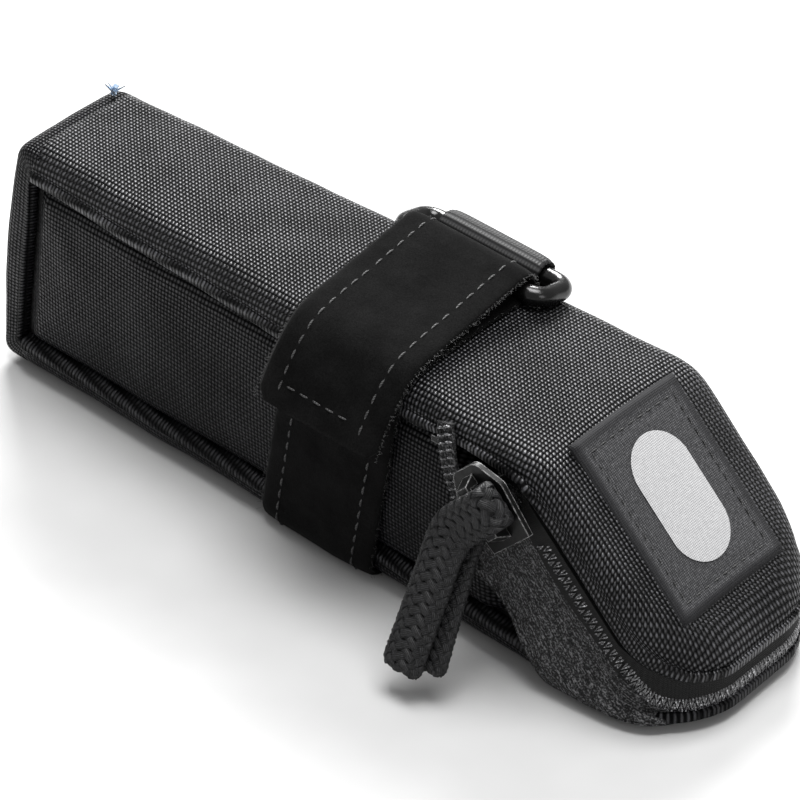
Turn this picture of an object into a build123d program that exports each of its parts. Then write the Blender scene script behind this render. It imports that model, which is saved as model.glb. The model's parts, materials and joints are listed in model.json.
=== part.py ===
from build123d import *
import math
import os

# A wedge-shaped saddle bag: a padded fabric shell, a rear flap that a coil zipper closes, and a hook-and-loop
# strap with a ring. X runs from the seat-post end to the tongue, Y to the far side, and Z up. The origin is
# the middle of the strap's underside, the face that the bag rests on. Millimetres.

# Driving dimensions: outline of the bag
FRONT_X = -91.0           # lower edge of the front face
FRONT_RISE = 54.1         # height of the front face
FRONT_LEAN = 7.0          # how far its top edge lies behind its lower edge
BEND_X = 56.0             # where the top panel bends down into the tongue
BEND_RISE = 46.7          # height of that bend
REAR_X = 91.0             # where the tongue ends
FRONT_HALF_WIDTH = 13.6
REAR_HALF_WIDTH = 23.0
REAR_CORNER = 16.0        # radius of the two rear corners, seen from above
EDGE_RADIUS = 4.5         # rounding of the long edges

# Driving dimensions: walls and seams
FABRIC = 1.2
FOAM = 2.0
LINING = 0.4
LAYER_GAP = 0.1           # between two layers of one wall
SEAM_ROLL = 6.5           # how far the gusset rolls over onto the sides
SIDE_SET_IN = 0.6         # the side panels lie this far behind the rolled edge
HINGE_X = 30.0            # the fold that the rear flap opens about
HINGE_GAP = 0.4
MOUTH_TOP_RISE = 42.6     # top of the open mouth on the near side
BINDING = 0.8
BINDING_WIDTH = 6.0

# Driving dimensions: zipper
CHAIN_DEPTH = 13.1        # middle of the zipper, measured square to the top and tongue surfaces
CHAIN_REAR_RISE = 4.4     # its height above the floor panel at the rear, where it levels out
COIL_GAP = 1.0            # between the two coil halves
COIL_WIDTH = 3.0
COIL_THICKNESS = 1.8
TAPE = 0.8                # the tapes lie on the walls, and the coils on the tapes
LIP_ABOVE_CHAIN = 5.0     # lower edge of the flap's rolled lip
SLIDER_LENGTH = 17.0
SLIDER_WIDTH = 11.5
SLIDER_SHOULDER = 14.0
SLIDER_PLATE = 1.2
SLIDER_CHANNEL = 2.05     # half the room between the plates
SLIDER_AT = 1.5           # slider's middle along the tongue's slope, from the bend

# Driving dimensions: pull cord, a flat braid folded double
BRAID_WIDTH = 9.0
BRAID = 1.8
CROWN_ROOM = 2.1          # height of the tunnel under the crown
CROWN_BAR = 1.0
CORD_DROP = 6.2           # from the crown's middle to where the legs swing
# The braid's middle line: up one leg, through the crown and down the other leg
CORD_ROUTE = [
    (44.9, -41.4, 6.6), (44.6, -35.4, 19.6), (43.9, -28.9, 33.2), (46.6, -28.3, 36.9), (50.4, -28.2, 40.7),
    (51.6, -28.9, 41.9), (52.0, -30.3, 42.3), (51.6, -31.7, 41.9), (50.2, -32.3, 40.5),
    (46.4, -32.3, 36.8), (42.9, -32.6, 32.6), (42.3, -38.2, 19.8), (41.4, -44.4, 6.4),
]

# Driving dimensions: strap, ring and webbing
STRAP_WIDTH = 30.0
STRAP = 1.6
STRAP_LEAN = 0.17         # the strap leans rearwards as it climbs
TAIL_GAP = 0.35           # between the tail and the layer under it
RING_BAR = 4.0            # diameter
RING_LENGTH = 39.0
RING_MIDDLE = 9.3         # along X
NEAR_BAR = (12.8, 4.3)    # Y, and height above the top panel
TAIL_START_Y = 9.0        # where the tail leaves the strap's fold round the near bar
FAR_BAR = (21.9, 2.0)
WEBBING = 1.2
WEBBING_WIDTH = 25.0
STRAP_END_RISE = 9.0      # the strap's sewn end, above the floor panel on the far side
RING_ROOM = 0.2           # between a ring bar and what is folded round it
TAIL_FALL = 0.25          # slope of the strap's run down from the ring
TAIL_FOOT_Y = 6.0         # where that run ends
TAIL_DROP = 13.5          # from the strap's top layer down to its tip on the near side
TIP_STANDS_OFF = 6.2      # the tip's distance from the near side
HOOK_TAPE = 0.8

# Driving dimensions: label and tag fastener
LABEL_LENGTH = 40.0
LABEL_WIDTH = 31.3
LABEL = 0.9
LABEL_FROM_BEND = 1.2
MARK_LENGTH = 26.0
MARK_WIDTH = 11.0
MARK = 0.3
TAG_RADIUS = 0.5
TAG_LENGTH = 2.4

FLOOR_Z = STRAP + LAYER_GAP
FAR_AWAY = 200.0
COLUMN_FOOT = -20.0       # upright columns start below the bag and end above it
COLUMN_HEIGHT = 120.0
SLOPE = 1 / math.sqrt(2)
TOP_Z = FLOOR_Z + FRONT_RISE
BEND_Z = FLOOR_Z + BEND_RISE
TOP_FALL = (TOP_Z - BEND_Z) / (BEND_X - FRONT_X - FRONT_LEAN)
TAPER = (REAR_HALF_WIDTH - FRONT_HALF_WIDTH) / (BEND_X - FRONT_X)


def top_height(x):
    """Height of the top panel's outer surface at x."""
    return BEND_Z + TOP_FALL * (BEND_X - x)


def half_width(x):
    """Half the bag's width at x, in front of the bend."""
    return REAR_HALF_WIDTH - TAPER * (BEND_X - x)


# The tongue's plane: x down the slope, y across the bag, z out of the surface.
TONGUE = Plane(origin=(BEND_X, 0, BEND_Z), x_dir=(1, 0, -1), z_dir=(1, 0, 1))
# The top panel's plane above the origin: x along the panel, y across the bag.
TOP = Plane(origin=(0, 0, top_height(0)), x_dir=(1, 0, -TOP_FALL), z_dir=(TOP_FALL, 0, 1))


# Outlines

def inset_outline(corners, gap):
    """A convex outline, corners anticlockwise, with every side moved inwards by gap."""
    moved = []
    count = len(corners)
    for i, corner in enumerate(corners):
        here = Vector(*corner)
        along_in = (here - Vector(*corners[i - 1])).normalized()
        along_out = (Vector(*corners[(i + 1) % count]) - here).normalized()
        normal_in = Vector(-along_in.Y, along_in.X)
        normal_out = Vector(-along_out.Y, along_out.X)
        shift = (normal_in + normal_out) * (gap / (1 + normal_in.dot(normal_out)))
        moved.append((here.X + shift.X, here.Y + shift.Y))
    return moved


def side_prism(corners, reach=80.0):
    """An outline in the XZ plane, carried across the whole width."""
    face = make_face(Polyline([(x, 0, z) for x, z in corners], close=True))
    return extrude(face, amount=reach, dir=(0, 1, 0), both=True)


def profile(gap=0.0):
    """The bag's side outline, carried across the whole width, every side moved in by gap."""
    corners = [
        (FRONT_X, FLOOR_Z),
        (BEND_X + BEND_RISE, FLOOR_Z),
        (BEND_X, BEND_Z),
        (FRONT_X + FRONT_LEAN, TOP_Z),
    ]
    return side_prism(inset_outline(corners, gap))


def below_roof(gap):
    """Everything deeper than gap under the top panel and the tongue."""
    corners = [
        (-FAR_AWAY, -FAR_AWAY),
        (BEND_X + FAR_AWAY + BEND_Z, -FAR_AWAY),
        (BEND_X, BEND_Z),
        (-FAR_AWAY, top_height(-FAR_AWAY)),
    ]
    return side_prism(inset_outline(corners, gap))


def below_chain(gap):
    """Everything deeper than gap under the zipper's middle line, which levels out round the rear."""
    bend_in = inset_outline([(BEND_X + BEND_Z, 0), (BEND_X, BEND_Z), (-FAR_AWAY, top_height(-FAR_AWAY))],
                            CHAIN_DEPTH)[1]
    rear_z = FLOOR_Z + CHAIN_REAR_RISE
    corners = [
        (-FAR_AWAY, -FAR_AWAY),
        (FAR_AWAY, -FAR_AWAY),
        (FAR_AWAY, rear_z),
        (REAR_X - 3, rear_z),
        (REAR_X - 11, rear_z + 2.4),
        (bend_in[0] + bend_in[1] - rear_z - 7.2, rear_z + 7.2),
        bend_in,
        (-FAR_AWAY, top_height(-FAR_AWAY) - CHAIN_DEPTH),
    ]
    return side_prism(inset_outline(corners, gap))


def front_slab(gap):
    """Everything within gap of the front face."""
    lean = FRONT_LEAN / FRONT_RISE
    inner = FRONT_X + gap * math.hypot(1, lean)
    bottom, top = FLOOR_Z - 20, FLOOR_Z + 80
    return side_prism([
        (-FAR_AWAY, bottom),
        (inner + lean * (bottom - FLOOR_Z), bottom),
        (inner + lean * (top - FLOOR_Z), top),
        (-FAR_AWAY, top),
    ])


def block(x=(-FAR_AWAY, FAR_AWAY), y=(-FAR_AWAY, FAR_AWAY), z=(-FAR_AWAY, FAR_AWAY)):
    """An upright block between the given limits."""
    middle = ((x[0] + x[1]) / 2, (y[0] + y[1]) / 2, (z[0] + z[1]) / 2)
    return Pos(*middle) * Box(x[1] - x[0], y[1] - y[0], z[1] - z[0])


def rear_column(gap):
    """The rounded rear outline seen from above, moved in by gap, carried up through the bag."""
    start = -FAR_AWAY
    end = REAR_X - gap
    outline = Pos((start + end) / 2, 0) * Rectangle(end - start, 2 * (REAR_HALF_WIDTH - gap))
    corners = outline.vertices().sort_by(Axis.X)[-2:]
    outline = fillet(corners, REAR_CORNER - gap)
    return extrude(Pos(0, 0, COLUMN_FOOT) * outline, amount=COLUMN_HEIGHT)


def wedge(gap):
    """The bag's tapering sides, carried up through the bag, every side moved in by gap."""
    wide = FAR_AWAY
    plan = inset_outline([
        (FRONT_X, -FRONT_HALF_WIDTH),
        (wide, -half_width(wide)),
        (wide, half_width(wide)),
        (FRONT_X, FRONT_HALF_WIDTH),
    ], gap)
    face = make_face(Polyline([(x, y, COLUMN_FOOT) for x, y in plan], close=True))
    return extrude(face, amount=COLUMN_HEIGHT)


def bag(gap=0.0):
    """The whole bag as one solid, with every side moved in by gap, or out where gap is negative."""
    body = profile(gap) & wedge(gap)
    long_edges = [e for e in body.edges() if abs(e.tangent_at(0.5).X) > 0.5]
    body = fillet(long_edges, max(EDGE_RADIUS - gap, 1.0))
    return body & rear_column(gap)


def around_rear(inner, outer):
    """An upright layer round the sides and the rear, between two distances outside them."""
    outside = wedge(-outer) & rear_column(-outer)
    inside = wedge(-inner) & rear_column(-inner)
    return (outside - inside) & flap_side(HINGE_X + 3)


def flap_side(x=HINGE_X):
    """Everything behind the flap's fold."""
    return block(x=(x, FAR_AWAY))


# Sub-parts: the shell

def outer_walls():
    """The fabric panels: gusset on top, front and floor, the two sides, and the flap with its rolled lip."""
    skin = bag(0) - bag(FABRIC)
    rolled = skin - profile(SEAM_ROLL)
    under_zip = below_chain(LIP_ABOVE_CHAIN)
    front = rolled & front_slab(SEAM_ROLL)
    rest = rolled - front_slab(SEAM_ROLL)
    top = rest & block(x=(-FAR_AWAY, HINGE_X - HINGE_GAP), z=(FLOOR_Z + BEND_RISE / 2, FAR_AWAY))
    floor = skin & block(z=(-FAR_AWAY, FLOOR_Z + SEAM_ROLL)) & under_zip
    floor = floor - front_slab(SEAM_ROLL)
    floor += (skin & block(x=(BEND_X, FAR_AWAY), z=(-FAR_AWAY, FLOOR_Z + LAYER_GAP))) - under_zip
    flap = (skin & flap_side(HINGE_X + HINGE_GAP)) - below_chain(-LIP_ABOVE_CHAIN)
    flap -= open_mouth()
    side_skin = (bag(SIDE_SET_IN) - bag(SIDE_SET_IN + FABRIC)) & profile(SEAM_ROLL)
    sides = side_skin - (flap_side() - under_zip)
    return {
        "top_panel": top,
        "front_panel": front,
        "bottom_panel": floor,
        "side_panel_left": sides & block(y=(-FAR_AWAY, 0)),
        "side_panel_right": sides & block(y=(0, FAR_AWAY)),
        "flap_panel": flap,
    }


def open_mouth():
    """The near side of the flap's lip, left open from the fold to behind the slider."""
    through_wall = -half_width(HINGE_X) + FABRIC + SIDE_SET_IN
    return block(x=(HINGE_X - 1, BEND_X - 3), y=(-FAR_AWAY, through_wall), z=(0, FLOOR_Z + MOUTH_TOP_RISE))


def inner_layer(name, start, thickness):
    """One padding or lining layer of every wall, from start to start + thickness under the surface."""
    end = start + thickness
    layer = bag(start) - bag(end)
    roof = (below_roof(start) - below_roof(end)) & wedge(start + 1.5) & rear_column(start + 1.5)
    under_zip = below_chain(LIP_ABOVE_CHAIN + 1)
    walls = (layer & profile(end)) - (flap_side(HINGE_X - 1) - under_zip)
    walls -= flap_side(REAR_X - REAR_CORNER)
    floor = (layer & block(z=(-FAR_AWAY, FLOOR_Z + end))) - front_slab(end)
    floor -= flap_side(REAR_X - REAR_CORNER)
    return {
        f"{name}_top": (roof - front_slab(end)) - flap_side(HINGE_X - 1),
        f"{name}_front": (layer & front_slab(end)) - block(z=(-FAR_AWAY, FLOOR_Z + start)),
        f"{name}_floor": floor,
        f"{name}_left": walls & block(y=(-FAR_AWAY, 0)),
        f"{name}_right": walls & block(y=(0, FAR_AWAY)),
        f"{name}_flap": (roof & flap_side(HINGE_X + 1)) - flap_side(REAR_X - 9),
    }


def seam_bindings():
    """A tape over the raw seam edges inside, round each side panel."""
    start = FABRIC + FOAM + LINING + 2 * LAYER_GAP + SIDE_SET_IN + LAYER_GAP
    end = start + BINDING
    ring = (profile(end) - profile(start + BINDING_WIDTH)) & (bag(start) - bag(end))
    ring = (ring - flap_side(HINGE_X - 2)) - front_slab(end)
    return {
        "seam_binding_left": ring & block(y=(-FAR_AWAY, 0)),
        "seam_binding_right": ring & block(y=(0, FAR_AWAY)),
    }


# Sub-parts: the zipper

def coil_start():
    """How far outside the walls the coils begin."""
    return 2 * LAYER_GAP + TAPE


def between(upper, lower):
    """Everything between two distances under the zipper's middle line."""
    return below_chain(upper) - below_chain(lower)


def near_side(x_to):
    """The near side of the bag, up to x_to."""
    return block(x=(-FAR_AWAY, x_to), y=(-FAR_AWAY, 0))


def open_mouth_coil():
    """The loose end of the lower coil: a V from the slider down, and up to its stop at the flap's fold."""
    top = (HINGE_X + 2.6, FLOOR_Z + 40.3)
    foot = (HINGE_X + 5.4, FLOOR_Z + 32.2)
    shoulder = (HINGE_X + 10.2, FLOOR_Z + 38.0)
    y_outer = -half_width(HINGE_X) - 1.6
    strip = ribbon([top, foot, shoulder], COIL_WIDTH - 0.7)
    face = make_face(Polyline([(x, y_outer, z) for x, z in strip], close=True))
    return extrude(face, amount=COIL_THICKNESS, dir=(0, 1, 0))


def band_outline():
    """The wide tape's front edge on the sides, and everything behind it."""
    return side_prism([
        (BEND_X - 11, FLOOR_Z + 15.5),
        (BEND_X - 7.5, FLOOR_Z + 11.5),
        (BEND_X + 4, FLOOR_Z + 4.5),
        (BEND_X + 14, FLOOR_Z),
        (BEND_X + FAR_AWAY, FLOOR_Z),
        (BEND_X + FAR_AWAY, FLOOR_Z + FAR_AWAY),
        (BEND_X - 11, FLOOR_Z + FAR_AWAY),
    ])


def zip_parts():
    """Coil halves, tapes and end stops, without the slider."""
    half_gap = COIL_GAP / 2
    outer_edge = half_gap + COIL_WIDTH
    near_cut = BEND_X - 3
    coil_layer = around_rear(coil_start(), coil_start() + COIL_THICKNESS)
    upper = (coil_layer & between(-outer_edge, -half_gap)) - near_side(near_cut)
    lower = (coil_layer & between(half_gap, outer_edge)) - near_side(near_cut)
    tape_layer = around_rear(LAYER_GAP, LAYER_GAP + TAPE)
    band = tape_layer & band_outline() & below_chain(half_gap + 0.2)
    flap_tape = (tape_layer & between(-LIP_ABOVE_CHAIN - 1.5, -half_gap - 0.2)) - near_side(near_cut)
    stop = Box(1.6, COIL_THICKNESS, 2 * COIL_WIDTH + COIL_GAP)
    stop_out = half_width(HINGE_X) + coil_start() + COIL_THICKNESS / 2
    far_stop = Pos(HINGE_X + 1.9, stop_out, top_height(HINGE_X) - CHAIN_DEPTH) * stop
    near_stop = Pos(HINGE_X + 2.2, -half_width(HINGE_X) - 0.5, FLOOR_Z + 41.6) * Box(3.4, 2.4, 1.4)
    return {
        "zip_coil_lower": lower,
        "zip_coil_loose_end": open_mouth_coil(),
        "zip_coil_flap": upper,
        "zip_band": band,
        "zip_tape_flap": flap_tape,
        "zip_end_stops": Compound([far_stop, near_stop]),
    }


def slider_frame():
    """The slider's middle on the coil: x down the slope, y towards the tongue's surface, z out of the side."""
    along = SLIDER_AT - CHAIN_DEPTH
    up = SLIDER_AT + CHAIN_DEPTH
    x = BEND_X + along * SLOPE
    out = half_width(x) - 0.35 + SLIDER_CHANNEL
    origin = (x, -out, BEND_Z - up * SLOPE)
    return Plane(origin=origin, x_dir=(1, 0, -1), z_dir=(0, -1, 0))


def slider_top():
    """The outer plate: a straight end that the closed chain leaves by, and rounded shoulders."""
    half = SLIDER_LENGTH / 2
    outline = make_face(Polyline([
        (half, -SLIDER_WIDTH / 2),
        (half, SLIDER_WIDTH / 2),
        (-half * 0.3, SLIDER_SHOULDER / 2),
        (-half, SLIDER_SHOULDER / 4),
        (-half, -SLIDER_SHOULDER / 4),
        (-half * 0.3, -SLIDER_SHOULDER / 2),
    ], close=True))
    shoulders = outline.vertices().sort_by(Axis.X)[:4]
    return extrude(fillet(shoulders, 2.2), amount=SLIDER_PLATE)


def slider_face():
    """Height of the outer plate's face above the middle of the coil."""
    return SLIDER_CHANNEL + SLIDER_PLATE


def slider_parts():
    """The slider's two plates and neck as one casting, and the crown that the cord goes through."""
    frame = slider_frame().location
    outer = Pos(0, 0, SLIDER_CHANNEL) * slider_top()
    inner_start = -3.5
    inner_length = SLIDER_LENGTH / 2 - inner_start
    inner_width = 2 * (LIP_ABOVE_CHAIN - 0.35)
    inner = Pos(inner_start + inner_length / 2, 0, -SLIDER_CHANNEL - SLIDER_PLATE / 2)
    inner *= Box(inner_length, inner_width, SLIDER_PLATE)
    neck = Pos(inner_start + 1.5, 0, 0) * Box(2.8, COIL_GAP - 0.7, 2 * SLIDER_CHANNEL + 0.2)
    foot = BRAID_WIDTH / 2 + 0.2
    arch = make_face(Polyline([
        (-foot - 2.2, 0, 0),
        (-foot, 0, 0),
        (-foot, 0, CROWN_ROOM),
        (foot, 0, CROWN_ROOM),
        (foot, 0, 0),
        (foot + 2.2, 0, 0),
        (foot + 0.8, 0, CROWN_ROOM + CROWN_BAR),
        (-foot - 0.8, 0, CROWN_ROOM + CROWN_BAR),
    ], close=True))
    crown = Pos(0, 0, slider_face()) * extrude(arch, amount=1.5, dir=(0, 1, 0), both=True)
    return {
        "zip_slider": frame * (outer + inner + neck),
        "slider_crown": frame * crown,
    }


# Sub-parts: the pull cord

def cord_pivot():
    """Where the doubled braid leaves the crown, which it swings about."""
    return slider_frame().from_local_coords(Vector(0, -CORD_DROP, slider_face() + CROWN_ROOM + 0.5))


def cord_parts():
    """The braid's fold round the crown bar, and its two legs, which hang side by side."""
    radius = (CROWN_BAR + BRAID) / 2 + 0.1
    middle = slider_face() + CROWN_ROOM + CROWN_BAR / 2
    rise = 2.2
    turn = arc_points((rise, middle), radius, -90, 90, 6)
    line = [(-CORD_DROP, middle - radius)] + turn + [(-CORD_DROP, middle + radius)]
    hairpin = make_face(Polyline([(0, v, w) for v, w in ribbon(line, BRAID)], close=True))
    fold = extrude(hairpin, amount=BRAID_WIDTH / 2, dir=(1, 0, 0), both=True)
    pivot = cord_pivot()
    knuckle = BRAID + 0.1
    under = block(z=(-FAR_AWAY, pivot.Z + knuckle + 0.35))
    end = (Vector(*CORD_ROUTE[0]) + Vector(*CORD_ROUTE[-1])) / 2
    middle_x = (pivot.X + end.X) / 2
    leg_outline = ribbon([(pivot.Y, pivot.Z), (end.Y, end.Z)], 2 * knuckle)
    legs_face = make_face(Polyline([(middle_x, y, z) for y, z in leg_outline], close=True))
    legs = extrude(legs_face, amount=BRAID_WIDTH / 2, dir=(1, 0, 0), both=True)
    legs += Pos(middle_x, pivot.Y, pivot.Z) * Rot(0, 90, 0) * Cylinder(knuckle, BRAID_WIDTH)
    route = [Vector(*place) for place in CORD_ROUTE]
    length = sum((after - before).length for before, after in zip(route, route[1:]))
    print("pull cord: runs add up to", round(length, 1), "mm, fold radius", round(radius, 2), "mm")
    return {
        "pull_cord_fold": slider_frame().location * fold - under,
        "pull_cord_legs": legs,
    }


# Sub-parts: the strap, its ring and the ring's webbing

def ribbon(line, thickness):
    """The outline of a flat strip of that thickness along a line of points in a plane."""
    left = []
    right = []
    for i, point in enumerate(line):
        here = Vector(*point)
        before = Vector(*line[max(i - 1, 0)])
        after = Vector(*line[min(i + 1, len(line) - 1)])
        steps = [s.normalized() for s in (here - before, after - here) if s.length > 0]
        normals = [Vector(-s.Y, s.X) for s in steps]
        middle = (normals[0] + normals[-1]).normalized()
        reach = thickness / 2 / middle.dot(normals[0])
        left.append((here.X + middle.X * reach, here.Y + middle.Y * reach))
        right.append((here.X - middle.X * reach, here.Y - middle.Y * reach))
    return left + right[::-1]


def cross_strip(line, thickness, width, middle_x):
    """A strip whose line lies in the YZ plane of the top panel's frame, carried along the panel."""
    face = make_face(Polyline([(middle_x, y, z) for y, z in ribbon(line, thickness)], close=True))
    return TOP.location * extrude(face, amount=width / 2, dir=(1, 0, 0), both=True)


def arc_points(centre, radius, start, end, steps):
    """Points on an arc in the YZ plane, angles in degrees from +Y towards +Z."""
    angles = [math.radians(start + (end - start) * i / steps) for i in range(steps + 1)]
    return [(centre[0] + radius * math.cos(a), centre[1] + radius * math.sin(a)) for a in angles]


def strap_slab(width=STRAP_WIDTH):
    """The slanting slice of space that the strap runs in."""
    low, high = -5.0, 90.0
    return side_prism([
        (STRAP_LEAN * low - width / 2, low),
        (STRAP_LEAN * low + width / 2, low),
        (STRAP_LEAN * high + width / 2, high),
        (STRAP_LEAN * high - width / 2, high),
    ])


def strap_wrap():
    """The strap's fixed length: far side edge, under the floor, up the near side, over the top to the ring."""
    band = (bag(-LAYER_GAP - STRAP) - bag(-LAYER_GAP)) & strap_slab()
    return band - block(y=(NEAR_BAR[0] - 0.6, FAR_AWAY), z=(FLOOR_Z + STRAP_END_RISE, FAR_AWAY))


def strap_middle():
    """X of the strap's middle on the top panel, in the top panel's frame."""
    return STRAP_LEAN * top_height(0)


def ring_parts():
    """The moulded ring, and the strap's fold round its near bar."""
    half_length = (RING_LENGTH - RING_BAR) / 2
    across = Vector(0, FAR_BAR[0] - NEAR_BAR[0], FAR_BAR[1] - NEAR_BAR[1])
    middle = Vector(RING_MIDDLE, (NEAR_BAR[0] + FAR_BAR[0]) / 2, (NEAR_BAR[1] + FAR_BAR[1]) / 2)
    plane = Plane(origin=middle, x_dir=(1, 0, 0), z_dir=Vector(1, 0, 0).cross(across.normalized()))
    path = Wire(RectangleRounded(2 * half_length, across.length, 3.0).face().outer_wire().edges())
    start = path.position_at(0)
    section = Plane(origin=start, z_dir=path.tangent_at(0)) * Circle(RING_BAR / 2)
    ring = TOP.location * plane.location * sweep(section, path=path, transition=Transition.ROUND)
    radius = RING_BAR / 2 + RING_ROOM + STRAP / 2
    turn = arc_points(NEAR_BAR, radius, -90, 90, 8) + [tail_start(TAIL_START_Y)]
    fold = cross_strip(turn, STRAP, STRAP_WIDTH - 1, strap_middle())
    return {"strap_ring": ring, "strap_fold": fold}


def ring_webbing():
    """The webbing that climbs the far side, goes round the ring's far bar and is sewn back onto itself."""
    radius = RING_BAR / 2 + RING_ROOM + WEBBING / 2
    inner_y = half_width(RING_MIDDLE + WEBBING_WIDTH / 2) + LAYER_GAP + WEBBING / 2
    outer_y = inner_y + WEBBING + LAYER_GAP
    low = FLOOR_Z + STRAP_END_RISE + 2.2 - top_height(0)
    line = [(outer_y, -16), (outer_y, -7)] + arc_points(FAR_BAR, radius, 0, 228, 9)
    line += [(inner_y, -3.5), (inner_y, low)]
    return cross_strip(line, WEBBING, WEBBING_WIDTH, RING_MIDDLE)


def tail_start(y):
    """A point at that Y on the strap's straight run down from the ring, in the YZ plane."""
    ring_top = NEAR_BAR[1] + RING_BAR / 2 + RING_ROOM + STRAP / 2
    return (y, ring_top - TAIL_FALL * (NEAR_BAR[0] - 0.4 - y))


def tail_line():
    """The tail's middle line from its hinge to its tip, in the YZ plane of the top panel's frame."""
    above = LAYER_GAP + STRAP + TAIL_GAP + STRAP / 2
    side = half_width(strap_middle() + STRAP_WIDTH / 2)
    return [
        tail_start(TAIL_START_Y - LAYER_GAP),
        tail_start(TAIL_FOOT_Y),
        (-2.0, above + 0.4),
        (-side + 5, above + 0.3),
        (-side - 1.2, above - 1.1),
        (-side - 4.6, above - 6.5),
        (-side - TIP_STANDS_OFF, above - TAIL_DROP),
    ]


def tail_parts():
    """The strap's tail over the top, its tip down the near side, and the hook tape under both."""
    line = tail_line()
    split = 4
    middle = strap_middle()
    tail = cross_strip(line[:split], STRAP, STRAP_WIDTH, middle)
    tip_line = line[split - 1:]
    tip = cross_strip([(tip_line[0][0] - 0.5, tip_line[0][1])] + tip_line[1:], STRAP, STRAP_WIDTH, middle)
    under = [(y + (STRAP + HOOK_TAPE) / 2, z - 0.6) for y, z in tip_line[2:]]
    hook_tip = cross_strip(under, HOOK_TAPE, STRAP_WIDTH - 10, middle)
    return {"strap_tail": tail, "strap_tip": tip, "hook_tape_tip": hook_tip}


def bar_tacks():
    """Dense rows of thread that hold the webbing on the far side."""
    face = half_width(RING_MIDDLE + WEBBING_WIDTH / 2) + 2 * LAYER_GAP + WEBBING
    rows = [
        Pos(RING_MIDDLE - 1.5, face + 0.4, FLOOR_Z + rise) * Box(WEBBING_WIDTH - 4, 0.8, 1.6)
        for rise in (13, 19)
    ]
    return Compound(rows)


# Sub-parts: label and small trim

def label_parts():
    """The woven label on the tongue, and the light mark woven into its middle."""
    middle = LABEL_FROM_BEND + LABEL_LENGTH / 2
    label = Pos(middle, 0, LAYER_GAP) * extrude(Rectangle(LABEL_LENGTH, LABEL_WIDTH), amount=LABEL)
    mark = Pos(middle, 0, LAYER_GAP + LABEL) * extrude(SlotOverall(MARK_LENGTH, MARK_WIDTH), amount=MARK)
    return {"label_patch": TONGUE.location * label, "label_mark": TONGUE.location * mark}


def tag_stub():
    """What is left of a clear hang-tag fastener at the far front top corner."""
    x = FRONT_X + FRONT_LEAN + 3
    place = Pos(x, half_width(x) - EDGE_RADIUS + 1.0, top_height(x) + 1.6)
    return place * Rot(0, 25, 0) * Cylinder(TAG_RADIUS, TAG_LENGTH)


def write(name, shape):
    """One sub-part's file."""
    solids = shape.solids()
    whole = solids[0] if len(solids) == 1 else Compound(solids)
    export_step(whole, os.path.join("parts", name + ".step"))


def main():
    os.makedirs("parts", exist_ok=True)
    foam_start = FABRIC + LAYER_GAP + SIDE_SET_IN
    lining_start = foam_start + FOAM + LAYER_GAP
    parts = {}
    parts.update(outer_walls())
    parts.update(inner_layer("foam", foam_start, FOAM))
    parts.update(inner_layer("lining", lining_start, LINING))
    parts.update(seam_bindings())
    parts.update(zip_parts())
    parts.update(slider_parts())
    parts.update(cord_parts())
    parts["strap_wrap"] = strap_wrap()
    parts.update(ring_parts())
    parts["ring_webbing"] = ring_webbing()
    parts.update(tail_parts())
    parts["bar_tacks"] = bar_tacks()
    parts.update(label_parts())
    parts["tag_stub"] = tag_stub()
    for name, shape in parts.items():
        write(name, shape)


main()
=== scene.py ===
import json
import math

import bpy
import numpy as np
from mathutils import Matrix, Vector, noise


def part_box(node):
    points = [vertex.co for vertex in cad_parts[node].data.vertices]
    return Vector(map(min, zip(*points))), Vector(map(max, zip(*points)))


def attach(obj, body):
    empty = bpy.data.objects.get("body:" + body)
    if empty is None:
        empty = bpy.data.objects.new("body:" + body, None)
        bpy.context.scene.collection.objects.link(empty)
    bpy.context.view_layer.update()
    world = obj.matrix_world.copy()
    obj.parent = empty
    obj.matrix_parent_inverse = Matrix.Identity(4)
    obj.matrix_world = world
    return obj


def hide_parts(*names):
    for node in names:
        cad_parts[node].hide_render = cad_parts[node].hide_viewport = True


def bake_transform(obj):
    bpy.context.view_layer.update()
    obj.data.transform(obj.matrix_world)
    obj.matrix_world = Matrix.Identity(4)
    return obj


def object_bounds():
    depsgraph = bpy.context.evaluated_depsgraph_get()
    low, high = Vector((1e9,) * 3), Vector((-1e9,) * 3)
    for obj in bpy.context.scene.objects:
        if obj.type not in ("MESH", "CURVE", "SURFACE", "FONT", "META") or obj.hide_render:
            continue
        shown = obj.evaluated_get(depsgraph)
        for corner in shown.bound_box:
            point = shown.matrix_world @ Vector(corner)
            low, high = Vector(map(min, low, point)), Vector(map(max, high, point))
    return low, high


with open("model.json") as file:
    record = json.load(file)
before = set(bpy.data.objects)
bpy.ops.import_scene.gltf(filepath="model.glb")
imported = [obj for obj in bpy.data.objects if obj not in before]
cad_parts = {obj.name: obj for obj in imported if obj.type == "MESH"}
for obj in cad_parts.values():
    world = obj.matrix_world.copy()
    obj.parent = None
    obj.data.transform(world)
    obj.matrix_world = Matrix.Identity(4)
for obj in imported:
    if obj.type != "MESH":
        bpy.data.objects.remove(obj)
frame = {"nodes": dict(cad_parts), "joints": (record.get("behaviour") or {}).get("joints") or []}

cad_low, cad_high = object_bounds()

# Shapes are worked out in millimetres, in the frame's axes, and become metres when a mesh is made.
MM = 0.001


def low(node):
    """A CAD node's lowest corner, in millimetres."""
    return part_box(node)[0] / MM


def high(node):
    """A CAD node's highest corner, in millimetres."""
    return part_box(node)[1] / MM


def joint(name):
    """A joint of the frame, by name."""
    return next(j for j in frame["joints"] if j["name"] == name)


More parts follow.
